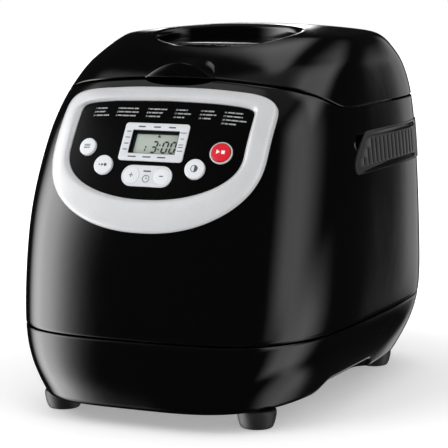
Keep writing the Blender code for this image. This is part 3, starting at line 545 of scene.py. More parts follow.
def plate(name, outlines, thickness, edge=0.0):
    """A flat plate on z = 0, from an outer outline and any holes, each a list of (x, y)."""
    curve = bpy.data.curves.new(name, "CURVE")
    curve.dimensions = "2D"
    curve.fill_mode = "BOTH"
    curve.extrude = thickness / 2 - edge
    curve.bevel_depth = edge
    curve.bevel_resolution = 2
    for outline in outlines:
        line = curve.splines.new("POLY")
        line.points.add(len(outline) - 1)
        for point, (x, y) in zip(line.points, outline):
            point.co = (x, y, 0, 1)
        line.use_cyclic_u = True
    data = mesh_of(curve)
    data.transform(Matrix.Translation((0, 0, thickness / 2)))
    return data


def joined(name, meshes):
    """Several meshes in one."""
    bm = bmesh.new()
    for data in meshes:
        bm.from_mesh(data)
    made = bpy.data.meshes.new(name)
    bm.to_mesh(made)
    bm.free()
    return made


def cut(data, cutters, operation="DIFFERENCE"):
    """A mesh with others cut from it, or joined to it."""
    target = bpy.data.objects.new("target", data)
    bpy.context.scene.collection.objects.link(target)
    tools = []
    for cutter in cutters:
        tool = bpy.data.objects.new("tool", cutter)
        bpy.context.scene.collection.objects.link(tool)
        step = target.modifiers.new("cut", "BOOLEAN")
        step.operation = operation
        step.object = tool
        step.solver = "EXACT"
        tools.append(tool)
    bpy.context.view_layer.update()
    made = bpy.data.meshes.new_from_object(target.evaluated_get(bpy.context.evaluated_depsgraph_get()))
    for obj in [target] + tools:
        bpy.data.objects.remove(obj)
    return made


# ---- the outer form --------------------------------------------------------------------------------------
FORM = spline(STATIONS, 800)


def form_at(z):
    """Half width, front and rear of the form at heights z."""
    return [np.interp(z, FORM[:, 0], FORM[:, k]) for k in (1, 2, 3)]


def signed_power(value, power):
    return np.sign(value) * np.abs(value) ** power


def unit_oval(count, squareness, stretch=1.0):
    """Evenly spaced points on a unit squarish oval, anticlockwise from +X, as two arrays."""
    angles = np.linspace(0, 2 * math.pi, 7200, endpoint=False)
    x = signed_power(np.cos(angles), 2 / squareness)
    y = signed_power(np.sin(angles), 2 / squareness)
    steps = np.hypot(np.diff(x, append=x[0]), stretch * np.diff(y, append=y[0]))
    travelled = np.concatenate(([0.0], np.cumsum(steps)))[:-1]
    even = np.linspace(0, steps.sum(), count, endpoint=False)
    return np.interp(even, travelled, x), np.interp(even, travelled, y)


UNIT_X, UNIT_Y = unit_oval(AROUND, SQUARENESS, 1.38)


def ring(z, inset=0.0):
    """The outer form at a height, or at a height for each column, pulled in by a distance."""
    z = np.broadcast_to(np.asarray(z, float), (AROUND,))
    half_width, front, rear = form_at(z)
    return np.stack(((half_width - inset) * UNIT_X,
                     (rear + front) / 2 + ((rear - front) / 2 - inset) * UNIT_Y, z), axis=-1)


def ramp(value, start, end):
    t = np.clip((value - start) / (end - start), 0.0, 1.0)
    return t * t * (3 - 2 * t)


def lid_line(x, y):
    """Height of the joint between housing and lid: level at the sides and rear, higher over the panel."""
    arch = np.maximum(0.0, 1 - (x / LID_CORNER_X) ** 2)
    return LID_SIDE_Z + ramp(y, *LID_STEP_Y) * (LID_FRONT_RISE + LID_FRONT_CROWN * arch)


def lid_line_heights():
    z = np.full(AROUND, LID_SIDE_Z)
    for _ in range(40):
        points = ring(z)
        z = (z + lid_line(points[:, 0], points[:, 1])) / 2
    return z


LID_LINE = lid_line_heights()


def form_value(points):
    """Negative inside the outer form and positive outside it."""
    half_width, front, rear = form_at(points[..., 2])
    across = np.abs(points[..., 0] / half_width) ** SQUARENESS
    along = np.abs((points[..., 1] - (rear + front) / 2) / ((rear - front) / 2)) ** SQUARENESS
    return across + along - 1


def roof_reach(x, y):
    half_width, front, rear = form_at(ROOF_Z)
    along = np.abs((y - (rear + front) / 2) / ((rear - front) / 2)) ** SQUARENESS
    return (np.abs(x / half_width) ** SQUARENESS + along) ** (1 / SQUARENESS)


def side_x(y, z):
    """Half width of the form at places on its flank."""
    half_width, front, rear = form_at(z)
    along = np.abs((y - (rear + front) / 2) / ((rear - front) / 2)) ** SQUARENESS
    return half_width * np.maximum(1 - along, 0.0) ** (1 / SQUARENESS)


def panel_points(places, lift=0.0):
    """Places (u, v) on the sloping front, lifted along the slope's normal."""
    places = np.asarray(places, float)
    start = PANEL_ORIGIN + places[..., :1] * np.array((1.0, 0, 0)) + places[..., 1:2] * PANEL_UP
    low = np.full(places.shape[:-1] + (1,), -0.060)
    high = np.full_like(low, 0.040)
    for _ in range(34):
        middle = (low + high) / 2
        inside = form_value(start + PANEL_OUT * middle)[..., None] < 0
        low, high = np.where(inside, middle, low), np.where(inside, high, middle)
    return start + PANEL_OUT * (low + lift)


def panel_matrix(u, v):
    """Axes lying on the sloping front at a place, with Z out of the surface."""
    step = 0.004
    here = [Vector(panel_points((u + du, v + dv))) for du, dv in ((step, 0), (-step, 0), (0, step), (0, -step))]
    right = (here[0] - here[1]).normalized()
    up = (here[2] - here[3]).normalized()
    out = right.cross(up).normalized()
    made = Matrix((right, out.cross(right), out)).transposed().to_4x4()
    made.translation = Vector(panel_points((u, v)))
    return made


def shield(shape, grow=0.0, scale=1.0, count=192):
    """The panel's outline, evenly spaced: an arched top with tight corners and a round bottom."""
    half = shape["half_width"] * scale + grow
    middle = shape["middle"]
    corner = shape["corner"]
    angles = np.linspace(0, 2 * math.pi, 2880, endpoint=False)
    c, s = np.cos(angles), np.sin(angles)
    upper = s >= 0
    u = half * signed_power(c, np.where(upper, 2 / corner, 2 / shape["roundness"]))
    top = shape["top"] - shape["crown"] * (u / half) ** 2
    v = np.where(upper, middle + ((top - middle) * scale + grow) * np.abs(s) ** (2 / corner),
                 middle - ((middle - shape["bottom"]) * scale + grow) * np.abs(s) ** (2 / shape["roundness"]))
    steps = np.hypot(np.diff(u, append=u[0]), np.diff(v, append=v[0]))
    travelled = np.concatenate(([0.0], np.cumsum(steps)))
    even = np.linspace(0, travelled[-1], count, endpoint=False)
    return np.stack((np.interp(even, travelled, np.append(u, u[0])),
                     np.interp(even, travelled, np.append(v, v[0]))), axis=-1)


def pocketed(rows):
    """Rows of the housing sunk behind the panel and the side grilles, where other pieces cover them."""
    rows = np.array(rows)
    behind = rows - PANEL_ORIGIN
    u, v = rows[..., 0], behind @ PANEL_UP
    wide = 1 - ramp(np.abs(u), 0.058, 0.066)
    tall = ramp(v, -0.034, -0.027) * (1 - ramp(v, 0.030, 0.036))
    front = rows[..., 1] < 0
    rows -= (0.0085 * wide * tall * front)[..., None] * PANEL_OUT
    level = ramp(rows[..., 2], VENT_Z[0] + 0.001, VENT_Z[0] + 0.004)
    level = level * (1 - ramp(rows[..., 2], VENT_Z[1] - 0.004, VENT_Z[1] - 0.001))
    along = ramp(rows[..., 1], -0.040, -0.034) * (1 - ramp(rows[..., 1], 0.096, 0.106))
    rows[..., 0] -= np.sign(rows[..., 0]) * 0.007 * level * along * (np.abs(rows[..., 0]) > 0.09)
    return rows


# ---- mouldings -------------------------------------------------------------------------------------------
def make_housing():
    """The tall shell, with rolled edges at the parting line and at the lid."""
    low = PARTING_Z + PARTING_GAP / 2
    lip = 0.0009
    rows = [ring(low + 0.004, WALL), ring(low, WALL), ring(low, lip), ring(low + 0.0002, 0.0004),
            ring(low + lip, 0.0)]
    levels = np.linspace(low + 0.003, 0.196, 92)
    rows += list(pocketed([ring(z) for z in levels]))
    upper = [ring(0.196 + (LID_LINE - 0.196) * share) for share in np.linspace(0.04, 0.985, 34)]
    rows += list(pocketed(upper))
    rows += [ring(LID_LINE - 0.0004, 0.0001), ring(LID_LINE - 0.0001, 0.0004), ring(LID_LINE, lip),
             ring(LID_LINE, WALL), ring(LID_LINE - 0.006, WALL)]
    for z in (0.205, 0.170, 0.120):
        rows.append(ring(z, 0.0125))
    shell = skin("housing_shell", rows, closed_rows=True)
    return piece("housing_shell", cut(shell, [finger_dip(), inlet_hole()]), "housing",
                 "body_black", ["main_housing"])


def finger_dip():
    """The shallow hollow in the housing's edge, under the lid's lip."""
    bm = bmesh.new()
    bmesh.ops.create_uvsphere(bm, u_segments=72, v_segments=40, radius=1.0)
    bmesh.ops.scale(bm, vec=DIP_RADII, verts=bm.verts)
    bmesh.ops.translate(bm, vec=DIP_CENTRE, verts=bm.verts)
    data = bpy.data.meshes.new("finger_dip")
    bm.to_mesh(data)
    bm.free()
    return data


def make_base():
    """The base tray, tucked in below, with a hand hold arched into each flank."""
    def hull(z, share, inset=0.0):
        points = ring(z)
        along = ramp(points[:, 1], ARCH_Y[0], ARCH_Y[0] + 0.02) * ramp(points[:, 1], ARCH_Y[1], ARCH_Y[1] - 0.02)
        at_side = ramp(np.abs(points[:, 0]), 0.085, 0.100)
        return ring(z + ARCH_RISE * share * along * at_side, inset)

    top = PARTING_Z - PARTING_GAP / 2
    floor = ring(BASE_Z, 0.004)
    floor[:, :2] *= 0.93
    floor[:, 2] = BASE_Z
    core = floor.copy()
    core[:, :2] *= 0.4
    rows = [core, floor, hull(BASE_Z, 1.0, 0.0030), hull(BASE_Z + 0.0005, 1.0, 0.0012),
            hull(BASE_Z + 0.0018, 0.97, 0.0001)]
    for z in np.linspace(BASE_Z + 0.004, 0.036, 18):
        rows.append(hull(z, float(1 - ramp(z, BASE_Z, 0.037))))
    for z in np.linspace(0.0375, top - 0.0016, 18):
        rows.append(ring(z))
    rows += [ring(top - 0.0008, 0.0001), ring(top - 0.0002, 0.0005), ring(top, 0.0013), ring(top, WALL),
             ring(top - 0.006, WALL + 0.0002)]
    for z in (0.045, 0.030, 0.022):
        rows.append(ring(z, 0.0060 + (0.045 - z) * 0.3))
    inner = floor.copy()
    inner[:, :2] *= 0.93
    inner[:, 2] = BASE_Z + WALL
    rows.append(inner)
    base = skin("base_shell", rows, first_cap=True, last_cap=True)
    piece("base_shell", base, "housing", "body_black", ["base_tray"])


def make_feet():
    """Four rubber feet with a rolled lower edge and a shallow centre."""
    profile = rounded_profile(((0.0040, 0.0012), (0.0040, 0.0), (0.0116, 0.0), (0.0134, 0.0040), (0.0146, 0.0100),
                               (0.0146, BASE_Z - 0.0002), (0.0, BASE_Z - 0.0002)), 0.0016)
    for y, row in zip(FOOT_Y, ("front", "rear")):
        for x, hand in ((-FOOT_X, "left"), (FOOT_X, "right")):
            node = "foot_%s_%s" % (row, hand)
            piece("rubber_" + node, lathe(node, profile[:-1]), "housing", "rubber_black", [node],
                  matrix=Matrix.Translation((x, y, 0)))


def inlet_matrix():
    z = 0.110
    return Matrix.Translation((-0.070, float(form_at(z)[2]), z)) @ Matrix.Rotation(math.radians(-90), 4, "X")


def inlet_hole():
    data = lathe("inlet_hole", ((0.0084, -0.02), (0.0084, 0.02)))
    data.transform(inlet_matrix())
    return data


def make_inlet():
    """The empty gland for the mains lead: a collar with a stepped throat."""
    profile = rounded_profile(((0.0035, -0.0080), (0.0080, -0.0080), (0.0080, 0.0004), (0.0110, 0.0004),
                               (0.0110, 0.0028), (0.0075, 0.0030), (0.0062, 0.0018), (0.0035, 0.0014),
                               (0.0035, -0.0080)), 0.0006, 3)
    piece("cord_gland", ring_lathe("cord_gland", profile[:-1]), "housing", "grille_grey", ["cord_inlet"],
          matrix=inlet_matrix())


def make_deck():
    """The flat deck round the chamber's mouth, turned down at its outer and inner edges."""
    outer = [ring(0.2145, inset)[:, :2] for inset in (WALL + 0.0016, WALL + 0.0024)]
    mouth = rounded_ring(CHAMBER_HALF[0] + 0.0020, CHAMBER_HALF[1] + 0.0020, 0.024, AROUND)
    rows = [(outer[0], DECK_TOP - 0.0020), (outer[0], DECK_TOP - 0.0004), (outer[1], DECK_TOP)]
    for share in (0.25, 0.5, 0.75):
        rows.append((outer[1] * (1 - share) + mouth * share, DECK_TOP))
    rows += [(mouth, DECK_TOP), (mouth, DECK_TOP - 0.0020)]
    stack = [np.column_stack((xy, np.full(AROUND, z))) for xy, z in rows]
    piece("chamber_deck", skin("chamber_deck", stack, closed_rows=True), "housing", "deck_black", ["top_deck"])


def rounded_ring(half_x, half_y, radius, count, middle_y=CHAMBER_Y):
    """A rectangle with round corners; its points lie in the directions of an even oval's points."""
    unit_x, unit_y = unit_oval(count, 4.5, half_y / half_x)
    flat_x, flat_y = half_x - radius, half_y - radius
    reach = np.maximum(np.abs(unit_x) * half_x, 1e-9), np.maximum(np.abs(unit_y) * half_y, 1e-9)
    low, high = np.full(count, 0.3), np.full(count, 1.5)
    for _ in range(40):
        scale = (low + high) / 2
        over_x = np.maximum(reach[0] * scale - flat_x, 0)
        over_y = np.maximum(reach[1] * scale - flat_y, 0)
        outside = np.hypot(over_x, over_y) > radius
        low, high = np.where(outside, low, scale), np.where(outside, scale, high)
    return np.column_stack((unit_x * half_x * low, middle_y + unit_y * half_y * low))


def grille_outline():
    """The grille's outer edge as (y, z) points: a leaning curved front end and a square rear one."""
    low, high = VENT_Z
    front = VENT_Y[0]
    points = []
    for t in np.linspace(0, 1, 22):
        z = low + (high - low) * (0.06 + 0.90 * t)
        points.append((front + 0.033 * max(0.0, t - 0.18) ** 1.35 + 0.0012 * (1 - min(t / 0.15, 1)) ** 2, z))
    top = [(y, high) for y in np.linspace(points[-1][0] + 0.0035, VENT_Y[1] - 0.001, 36)]
    rear = [(VENT_Y[1], z) for z in np.linspace(high - 0.001, low + 0.001, 8)]
    bottom = [(y, low) for y in np.linspace(VENT_Y[1] - 0.001, front + 0.0045, 40)]
    return (points + top + rear + bottom)[::-1]


def grille_slot(n):
    """One slot with round ends, as (y, z) points; the first ones are cut short by the leaning end."""
    middle = VENT_FIRST + VENT_PITCH * n
    top = VENT_Z[1] - 0.0050 - max(0.0, 0.0130 - 0.0065 * n)
    bottom = VENT_Z[0] + 0.0050
    half = VENT_SLOT / 2
    points = []
    for centre, start in ((top - half, 0), (bottom + half, 180)):
        for k in range(7):
            angle = math.radians(start + 30 * k)
            points.append((middle + half * math.cos(angle), centre + half * math.sin(angle)))
        edge = middle - half if start == 0 else middle + half
        span = np.linspace(centre, bottom + half if start == 0 else top - half, 8)[1:-1]
        points += [(edge, z) for z in span]
    return points


def make_grilles():
    """A slotted satin plate on each flank, following its curve."""
    flat = plate("grille", [grille_outline()] + [grille_slot(n) for n in range(VENT_SLOTS)], 0.0020, 0.0004)
    for side, hand in ((1, "right"), (-1, "left")):
        data = flat.copy()
        places = np.zeros(len(data.vertices) * 3)
        data.vertices.foreach_get("co", places)
        places = places.reshape(-1, 3)
        y, z, lift = places[:, 0], places[:, 1], places[:, 2]
        bent = np.column_stack((side * (side_x(y, z) + lift - 0.0010), y, z))
        data.vertices.foreach_set("co", bent.ravel())
        if side < 0:
            data.flip_normals()
        data.update()
        piece("side_grille_" + hand, data, "housing", "grille_grey", ["vent_grille_" + hand], sharp=50)


# ---- control panel ---------------------------------------------------------------------------------------
def make_bezel():
    """The broad silver surround: rolled outside, crowned, and falling to the fascia inside."""
    outer, inner = shield(BEZEL), shield(FASCIA, grow=0.0004)
    gap = inner - outer
    width = np.hypot(gap[:, 0], gap[:, 1])[:, None]
    proud = 0.0022 * ramp(np.abs(outer[:, :1]), 0.045, 0.080)
    section = (("outer", 0.0, -0.0006), ("outer", 0.0, 0.0010), ("outer", 0.0004, 0.0022), ("outer", 0.0018, 0.0031),
               ("outer", 0.0042, 0.0036), ("middle", 0.5, 0.0040), ("inner", 0.0052, 0.0038),
               ("inner", 0.0036, 0.0035), ("inner", 0.0022, 0.0027), ("inner", 0.0010, 0.0016),
               ("inner", 0.0003, 0.0010), ("inner", 0.0, 0.0002), ("inner", 0.0, -0.0008))
    rows = []
    for edge, distance, lift in section:
        if edge == "outer":
            share = distance / width
        elif edge == "inner":
            share = 1 - distance / width
        else:
            share = np.full_like(width, distance)
        rise = proud * np.clip(1 - share * 0.9, 0, 1) if lift > 0.0005 else 0.0
        rows.append(panel_points(outer + gap * share, lift + rise))
    data = skin("bezel", spline(rows, 60), closed_rows=True)
    piece("bezel", data, "housing", "bezel_silver", ["panel_bezel"], sharp=60)


def make_fascia():
    """The black overlay, pierced for the buttons and the display."""
    outline = shield(FASCIA)
    rows = [panel_points(outline, -0.0006), panel_points(outline, FASCIA_LIFT - 0.0003),
            panel_points(outline * 0.996, FASCIA_LIFT)]
    rows += [panel_points(outline * k, FASCIA_LIFT) for k in np.linspace(0.96, 0.04, 24)]
    lower = [panel_points(outline * k, -0.0006) for k in (0.04, 0.3, 0.6)]
    data = skin("fascia", rows + lower, closed_rows=True)
    tools = []
    for name, (u, v, radius) in BUTTONS.items():
        tool = lathe(name + "_hole", ((radius + 0.0003, -0.006), (radius + 0.0003, 0.008)), 64)
        tool.transform(panel_matrix(u, v))
        tools.append(tool)
    wide, tall = LCD_GLASS_HALF
    tool = plate("lcd_hole", [[(-wide, -tall), (wide, -tall), (wide, tall), (-wide, tall)]], 0.012)
    tool.transform(panel_matrix(*LCD_PLACE) @ Matrix.Translation((0, 0, -0.006)))
    tools.append(tool)
    piece("fascia", cut(data, tools), "housing", "fascia_black", ["panel_fascia"])


def rounded_box(half_x, half_y, radius, steps=8):
    """A flat rectangle with round corners, anticlockwise."""
    points = []
    for cx, cy, start in ((1, 1, 0), (-1, 1, 90), (-1, -1, 180), (1, -1, 270)):
        for k in range(steps + 1):
            angle = math.radians(start + 90 * k / steps)
            points.append((cx * (half_x - radius) + radius * math.cos(angle),
                           cy * (half_y - radius) + radius * math.sin(angle)))
    return points


def bar(x, y, width, height, slant=0.0):
    """A flat bar as an outline, leaning by `slant` in x for each unit of height."""
    corners = ((-width / 2, -height / 2), (width / 2, -height / 2), (width / 2, height / 2),
               (-width / 2, height / 2))
    return [(x + cx + slant * cy, y + cy) for cx, cy in corners]


def printed(name, outlines, matrix, lift, body, slot, look, thickness=0.00006):
    """Flat printed shapes on a surface."""
    data = joined(name, [plate(name, outline if isinstance(outline[0], list) else [outline], thickness)
                         for outline in outlines])
    data.transform(matrix @ Matrix.Translation((0, 0, lift)))
    return piece(name, data, body, slot, look=look)


def number(text, height, slant=0.0):
    """Numerals as a flat mesh with their left end at the origin."""
    curve = bpy.data.curves.new("number", "FONT")
    curve.body = text
    curve.size = height / 0.70
    curve.shear = slant
    curve.extrude = 0.00003
    curve.offset = 0.00002
    return mesh_of(curve)


SEGMENTS = {"0": "abcdef", "1": "bc", "3": "abcdg"}


def digit(character, x, y, width, height, stroke, slant):
    """A seven-segment digit, as outlines of its lit bars."""
    wide, tall = width / 2 - stroke / 2, height / 2 - stroke / 2
    point, gap = stroke / 2, stroke * 0.12
    places = {"a": (0, tall, 1), "d": (0, -tall, 1), "g": (0, 0, 1), "b": (wide, tall / 2, 0),
              "c": (wide, -tall / 2, 0), "f": (-wide, tall / 2, 0), "e": (-wide, -tall / 2, 0)}
    made = []
    for name in SEGMENTS[character]:
        cx, cy, level = places[name]
        reach = (wide if level else tall / 2) - gap
        shape = ((-reach, 0), (-reach + point, -point), (reach - point, -point), (reach, 0), (reach - point, point),
                 (-reach + point, point))
        turned = [(a, b) if level else (-b, a) for a, b in shape]
        made.append([(x + cx + a + slant * (cy + b), y + cy + b) for a, b in turned])
    return made


def make_display():
    """The pale plate, the sunken film with its lit bars, and the dark shroud between them, whose dark walls also paint
    the shade inside the display's recess.
    """
    here = panel_matrix(*LCD_PLACE)
    wide, tall = LCD_GLASS_HALF
    top = 0.0026
    hole = rounded_box(wide + 0.0004, tall + 0.0004, 0.0008)[::-1]
    data = plate("lcd_plate", [rounded_box(*LCD_HALF, 0.0022), hole], 0.0012, 0.0003)
    data.transform(here @ Matrix.Translation((0, 0, top - 0.0012)))
    piece("lcd_plate", data, "housing", "lcd_surround", ["lcd_frame"], sharp=50)
    # A real wall round the film, coloured dark as painted shade inside the display's recess.
    shroud = plate("lcd_shroud", [rounded_box(wide + 0.0003, tall + 0.0003, 0.0007),
                                  rounded_box(wide, tall, 0.0005)[::-1]], 0.0040)
    shroud.transform(here @ Matrix.Translation((0, 0, LCD_DEPTH - 0.0002)))
    piece("lcd_shroud", shroud, "housing", "deck_black", look=SHROUD_PAINTED_SHADE)
    film = plate("lcd_film", [rounded_box(wide + 0.0006, tall + 0.0006, 0.0006)], 0.0014, 0.0002)
    film.transform(here @ Matrix.Translation((0, 0, LCD_DEPTH - 0.0014)))
    piece("lcd_film", film, "housing", "lcd_screen", ["lcd_module"])
    lean = 0.14
    shapes = []
    for character, x in (("3", -0.0008), ("0", 0.0079), ("0", 0.0143)):
        shapes += digit(character, x, -0.0023, 0.0052, 0.0100, 0.0014, lean)
    shapes += digit("1", -0.0085, -0.0036, 0.0026, 0.0058, 0.0011, lean)
    shapes += [bar(0.0032 + lean * dy, -0.0023 + dy, 0.0012, 0.0013, lean) for dy in (0.0017, -0.0017)]
    shapes.append([(0.0000, 0.0056), (0.0028, 0.0056), (0.0014, 0.0080)])
    shapes += [bar(-wide + 0.0010, 0, 0.0020, 2 * tall), bar(0, tall - 0.0007, 2 * wide, 0.0014)]
    shapes.append([(-0.0052, -0.0084), (-0.0040, -0.0090), (-0.0028, -0.0084)])
    printed("lcd_digits", shapes, here, LCD_DEPTH, "housing", "lcd_screen", INK_LCD)
    marks = [bar(x, 0.0122, 0.0056, 0.0011) for x in (-0.0125, 0.0000, 0.0122)]
    marks += [bar(-0.0221, y, 0.0036, 0.0007) for y in (0.0080, 0.0032, -0.0018, -0.0066)]
    marks += [bar(0.0222, y, w, 0.0006) for y, w in ((0.0082, 0.0048), (0.0034, 0.0030), (-0.0014, 0.0036),
                                                     (-0.0034, 0.0040), (-0.0064, 0.0044))]
    marks += [bar(x, -0.0122, 0.0066, 0.0010) for x in (-0.0150, -0.0030, 0.0090)]
    printed("lcd_plate_marks", marks, here, top, "housing", "lcd_surround", INK_DARK)


def button_body(radius, top):
    """A round cap: straight stem, tight rolled edge and a barely domed face."""
    edge = 0.0007
    profile = [(0.0, -0.0042), (radius, -0.0042), (radius, top - edge)]
    for k in range(1, 5):
        angle = math.radians(90 * k / 4)
        profile.append((radius - edge + edge * math.cos(angle), top - edge + edge * math.sin(angle)))
    profile += [(radius * 0.6, top + 0.00012), (radius * 0.25, top + 0.00018)]
    return lathe("button", profile[1:], 64)


def circle(x, y, radius, steps=32):
    return [(x + radius * math.cos(2 * math.pi * k / steps), y + radius * math.sin(2 * math.pi * k / steps))
            for k in range(steps)]


BUTTON_SIGNS = {
    "menu_button": [bar(0, dy, 0.0052, 0.0006) for dy in (0.0013, 0.0, -0.0013)],
    "weight_button": [circle(x, -0.0002, r, 20)
                      for x, r in ((-0.0026, 0.0006), (-0.0004, 0.0009), (0.0023, 0.0012))],
    "timer_plus_button": [bar(0, 0, 0.0030, 0.0007), bar(0, 0.00115, 0.0007, 0.0011),
                          bar(0, -0.00115, 0.0007, 0.0011)],
    "timer_minus_button": [bar(0, 0, 0.0030, 0.0008)],
    "crust_button": [[circle(0, 0, 0.0028), circle(0, 0, 0.0023)[::-1]],
                     [(0.0023 * math.cos(math.radians(a)), 0.0023 * math.sin(math.radians(a)))
                      for a in range(-90, 91, 12)]],
    "start_button": [[(-0.0032, -0.0017), (-0.0004, 0.0), (-0.0032, 0.0017)], bar(0.0019, 0, 0.0026, 0.0026)],
}


def make_buttons():
    """Six buttons with their signs, the ring round the start button and the timer's shared surround."""
    for name, (u, v, radius) in BUTTONS.items():
        here = panel_matrix(u, v)
        red = name == "start_button"
        slot = "button_red" if red else "button_grey"
        top = BUTTON_TOP - 0.0006 if name.startswith("timer") else BUTTON_TOP
        data = button_body(radius, top)
        data.transform(here)
        piece(name.replace("_button", "_key"), data, name, slot, [name])
        printed(name.replace("_button", "_sign"), BUTTON_SIGNS[name], here, top + 0.00010, name, slot,
                INK_WHITE if red else INK_DARK, 0.00014)
    u, v, radius = BUTTONS["start_button"]
    profile = rounded_profile(((radius + 0.0003, 0.0010), (radius + 0.0014, 0.0010), (radius + 0.0013, 0.0023),
                               (radius + 0.0004, 0.0026), (radius + 0.0003, 0.0010)), 0.0003, 3)
    piece("start_button_ring", ring_lathe("start_button_ring", profile[:-1], 64), "housing", "bezel_silver",
          ["start_ring"], matrix=panel_matrix(u, v))

    here = panel_matrix(0.0, BUTTONS["timer_plus_button"][1])
    reach, hole = BUTTONS["timer_minus_button"][0], BUTTONS["timer_minus_button"][2] + 0.00025
    pill = []
    for side, start in ((1, -90), (-1, 90)):
        for k in range(25):
            angle = math.radians(start + 180 * k / 24)
            pill.append((side * reach + TIMER_RADIUS * math.cos(angle), TIMER_RADIUS * math.sin(angle)))
    data = plate("timer_plate", [pill] + [circle(side * reach, 0, hole, 64)[::-1] for side in (-1, 1)], 0.0016, 0.0003)
    data.transform(here @ Matrix.Translation((0, 0, 0.0010)))
    piece("timer_plate", data, "housing", "lcd_surround", ["timer_surround"], sharp=50)
    clock = [[circle(0, -0.0022, 0.0029), circle(0, -0.0022, 0.0024)[::-1]], bar(0, -0.0013, 0.0004, 0.0019),
             bar(0.0007, -0.0022, 0.0014, 0.0004), bar(0, 0.0036, 0.0060, 0.0011)]
    printed("timer_signs", clock, here, 0.0026, "housing", "lcd_surround", INK_DARK)


PROGRAMMES = (  # left end of each column and the lengths of its lines, in millimetres
    (-57.7, (10.4, 10.0, 14.3)),
    (-38.3, (17.9, 18.8, 17.1)),
    (-13.4, (16.2, 13.6, 12.3)),
    (9.2, (9.7, 14.3, 9.1)),
    (29.5, (11.0, 13.6, 10.4)),
    (48.0, (14.5, 14.9, 19.5, 11.7)),
)
STROKES = (  # height and width
    (0.95, 0.55), (0.80, 0.30), (1.0, 0.75), (0.70, 0.25), (0.90, 0.60), (1.0, 0.35))


def make_programme_list():
    """Numbered lines along the top of the fascia; rows of plain strokes stand for the programmes' names."""
    meshes = []
    count = 0
    for left, lengths in PROGRAMMES:
        for line, length in enumerate(lengths):
            count += 1
            u, v = left / 1000, 0.0334 - 0.0032 * line
            here = panel_matrix(u, v)
            figure = number(str(count), 0.0014, 0.18)
            figure.transform(here @ Matrix.Translation((0, 0, FASCIA_LIFT + 0.00004)))
            meshes.append(figure)
            at = 0.0018 if count < 10 else 0.0030
            strokes = []
            k = count
            while at < length / 1000 - 0.0006:
                tall, wide = STROKES[k % len(STROKES)]
                wide = 0.0003 + 0.0007 * wide
                strokes.append(bar(at + wide / 2, 0.0007, wide, 0.0012 * tall, 0.18))
                at += wide + (0.0008 if k % 6 == 3 else 0.0003)
                k += 1
            flat = joined("strokes", [plate("stroke", [stroke], 0.00006) for stroke in strokes])
            flat.transform(panel_matrix(u + length / 2000, v) @ Matrix.Translation((-length / 2000, 0, FASCIA_LIFT)))
            meshes.append(flat)
    piece("programme_list", joined("programme_list", meshes), "housing", "fascia_black", look=INK_LIST)


# ---- lid -------------------------------------------------------------------------------------------------
def window_ring(half_x, half_y, count=AROUND):
    x, y = unit_oval(count, WINDOW_SQUARENESS, half_y / half_x)
    return np.column_stack((x * half_x, WINDOW_Y + y * half_y))


def top_height(xy):
    """Height of the lid's outer face over places in plan, on its roof or on its sloping sides."""
    x, y = xy[:, 0], xy[:, 1]
    reach = roof_reach(x, y)
    low, high = np.full(len(x), LID_SIDE_Z), np.full(len(x), ROOF_Z)
    for _ in range(30):
        middle = (low + high) / 2
        inside = form_value(np.column_stack((x, y, middle))) < 0
        low, high = np.where(inside, middle, low), np.where(inside, high, middle)
    return np.where(reach <= 1, ROOF_Z + ROOF_CROWN * (1 - np.minimum(reach, 1) ** 2), low)


SHOULDER_Z = 0.2600           # where the lid's rings start to turn from its own outline to the window's
RIM_ROLL = 0.0044
ROOF_STEPS = 61               # places between the shoulder and the window's rim where the roof's height is taken
ROOF_SOFTENING = 10           # steps to each side over which those heights are averaged


def make_lid():
    """The domed lid with a rolled skirt and a soft rim that rolls into the sunken window."""
    skirt = LID_LINE + LID_GAP
    start = skirt + 0.0012
    controls = [ring(start + (SHOULDER_Z - start) * share) for share in np.linspace(0, 1, 6)]
    edge = controls[-1][:, :2]
    rim = window_ring(WINDOW[0] + RIM_ROLL, WINDOW[1] + RIM_ROLL)
    places = [edge * (1 - share) + rim * share for share in np.linspace(0, 1, ROOF_STEPS)]
    heights = np.array([top_height(xy) for xy in places])
    ahead = 2 * heights[0] - heights[ROOF_SOFTENING:0:-1]
    behind = 2 * heights[-1] - heights[-2:-2 - ROOF_SOFTENING:-1]
    padded = np.concatenate((ahead, heights, behind))
    softening = np.hanning(2 * ROOF_SOFTENING + 3)[1:-1]
    softening = softening / softening.sum()
    heights = np.array([np.convolve(column, softening, "valid") for column in padded.T]).T
    controls += [level(places[k], heights[k]) for k in range(5, ROOF_STEPS, 5)]
    face = list(spline(controls, 140))
    rows = [ring(skirt + 0.008, WALL), ring(skirt, WALL), ring(skirt, 0.0012), ring(skirt + 0.0003, 0.0004),
            ring(skirt + 0.0008, 0.0001)] + face
    height = face[-1][:, 2]
    depth = np.maximum(height - GLASS_Z - 0.0002, 0.0006)
    roll = np.minimum(RIM_ROLL, depth * 0.62)
    for k in range(1, 10):
        angle = math.radians(90 * k / 9)
        out = RIM_ROLL * (1 - math.sin(angle))
        xy = window_ring(WINDOW[0] + out, WINDOW[1] + out)
        rows.append(level(xy, height - roll * (1 - math.cos(angle))))
    rows.append(level(window_ring(*WINDOW), height - depth))
    under = window_ring(WINDOW[0] + 0.0020, WINDOW[1] + 0.0020)
    rows.append(level(under, height - depth))
    rows.append(level(under, height - np.minimum(roll + WALL, depth)))
    for share in (0.75, 0.5, 0.25):
        xy = edge * 0.985 * (1 - share) + under * share
        rows.append(level(xy, top_height(xy) - WALL))
    rows.append(ring(SHOULDER_Z - 0.0020, 0.0040))
    for share in (0.75, 0.4):
        rows.append(ring(skirt + (SHOULDER_Z - skirt) * share - 0.0015, WALL + 0.0008))
    shell = skin("lid_cover", rows, closed_rows=True)
    piece("lid_cover", shell, "lid", "body_black", ["lid_shell"])
    make_lip()
    make_window()


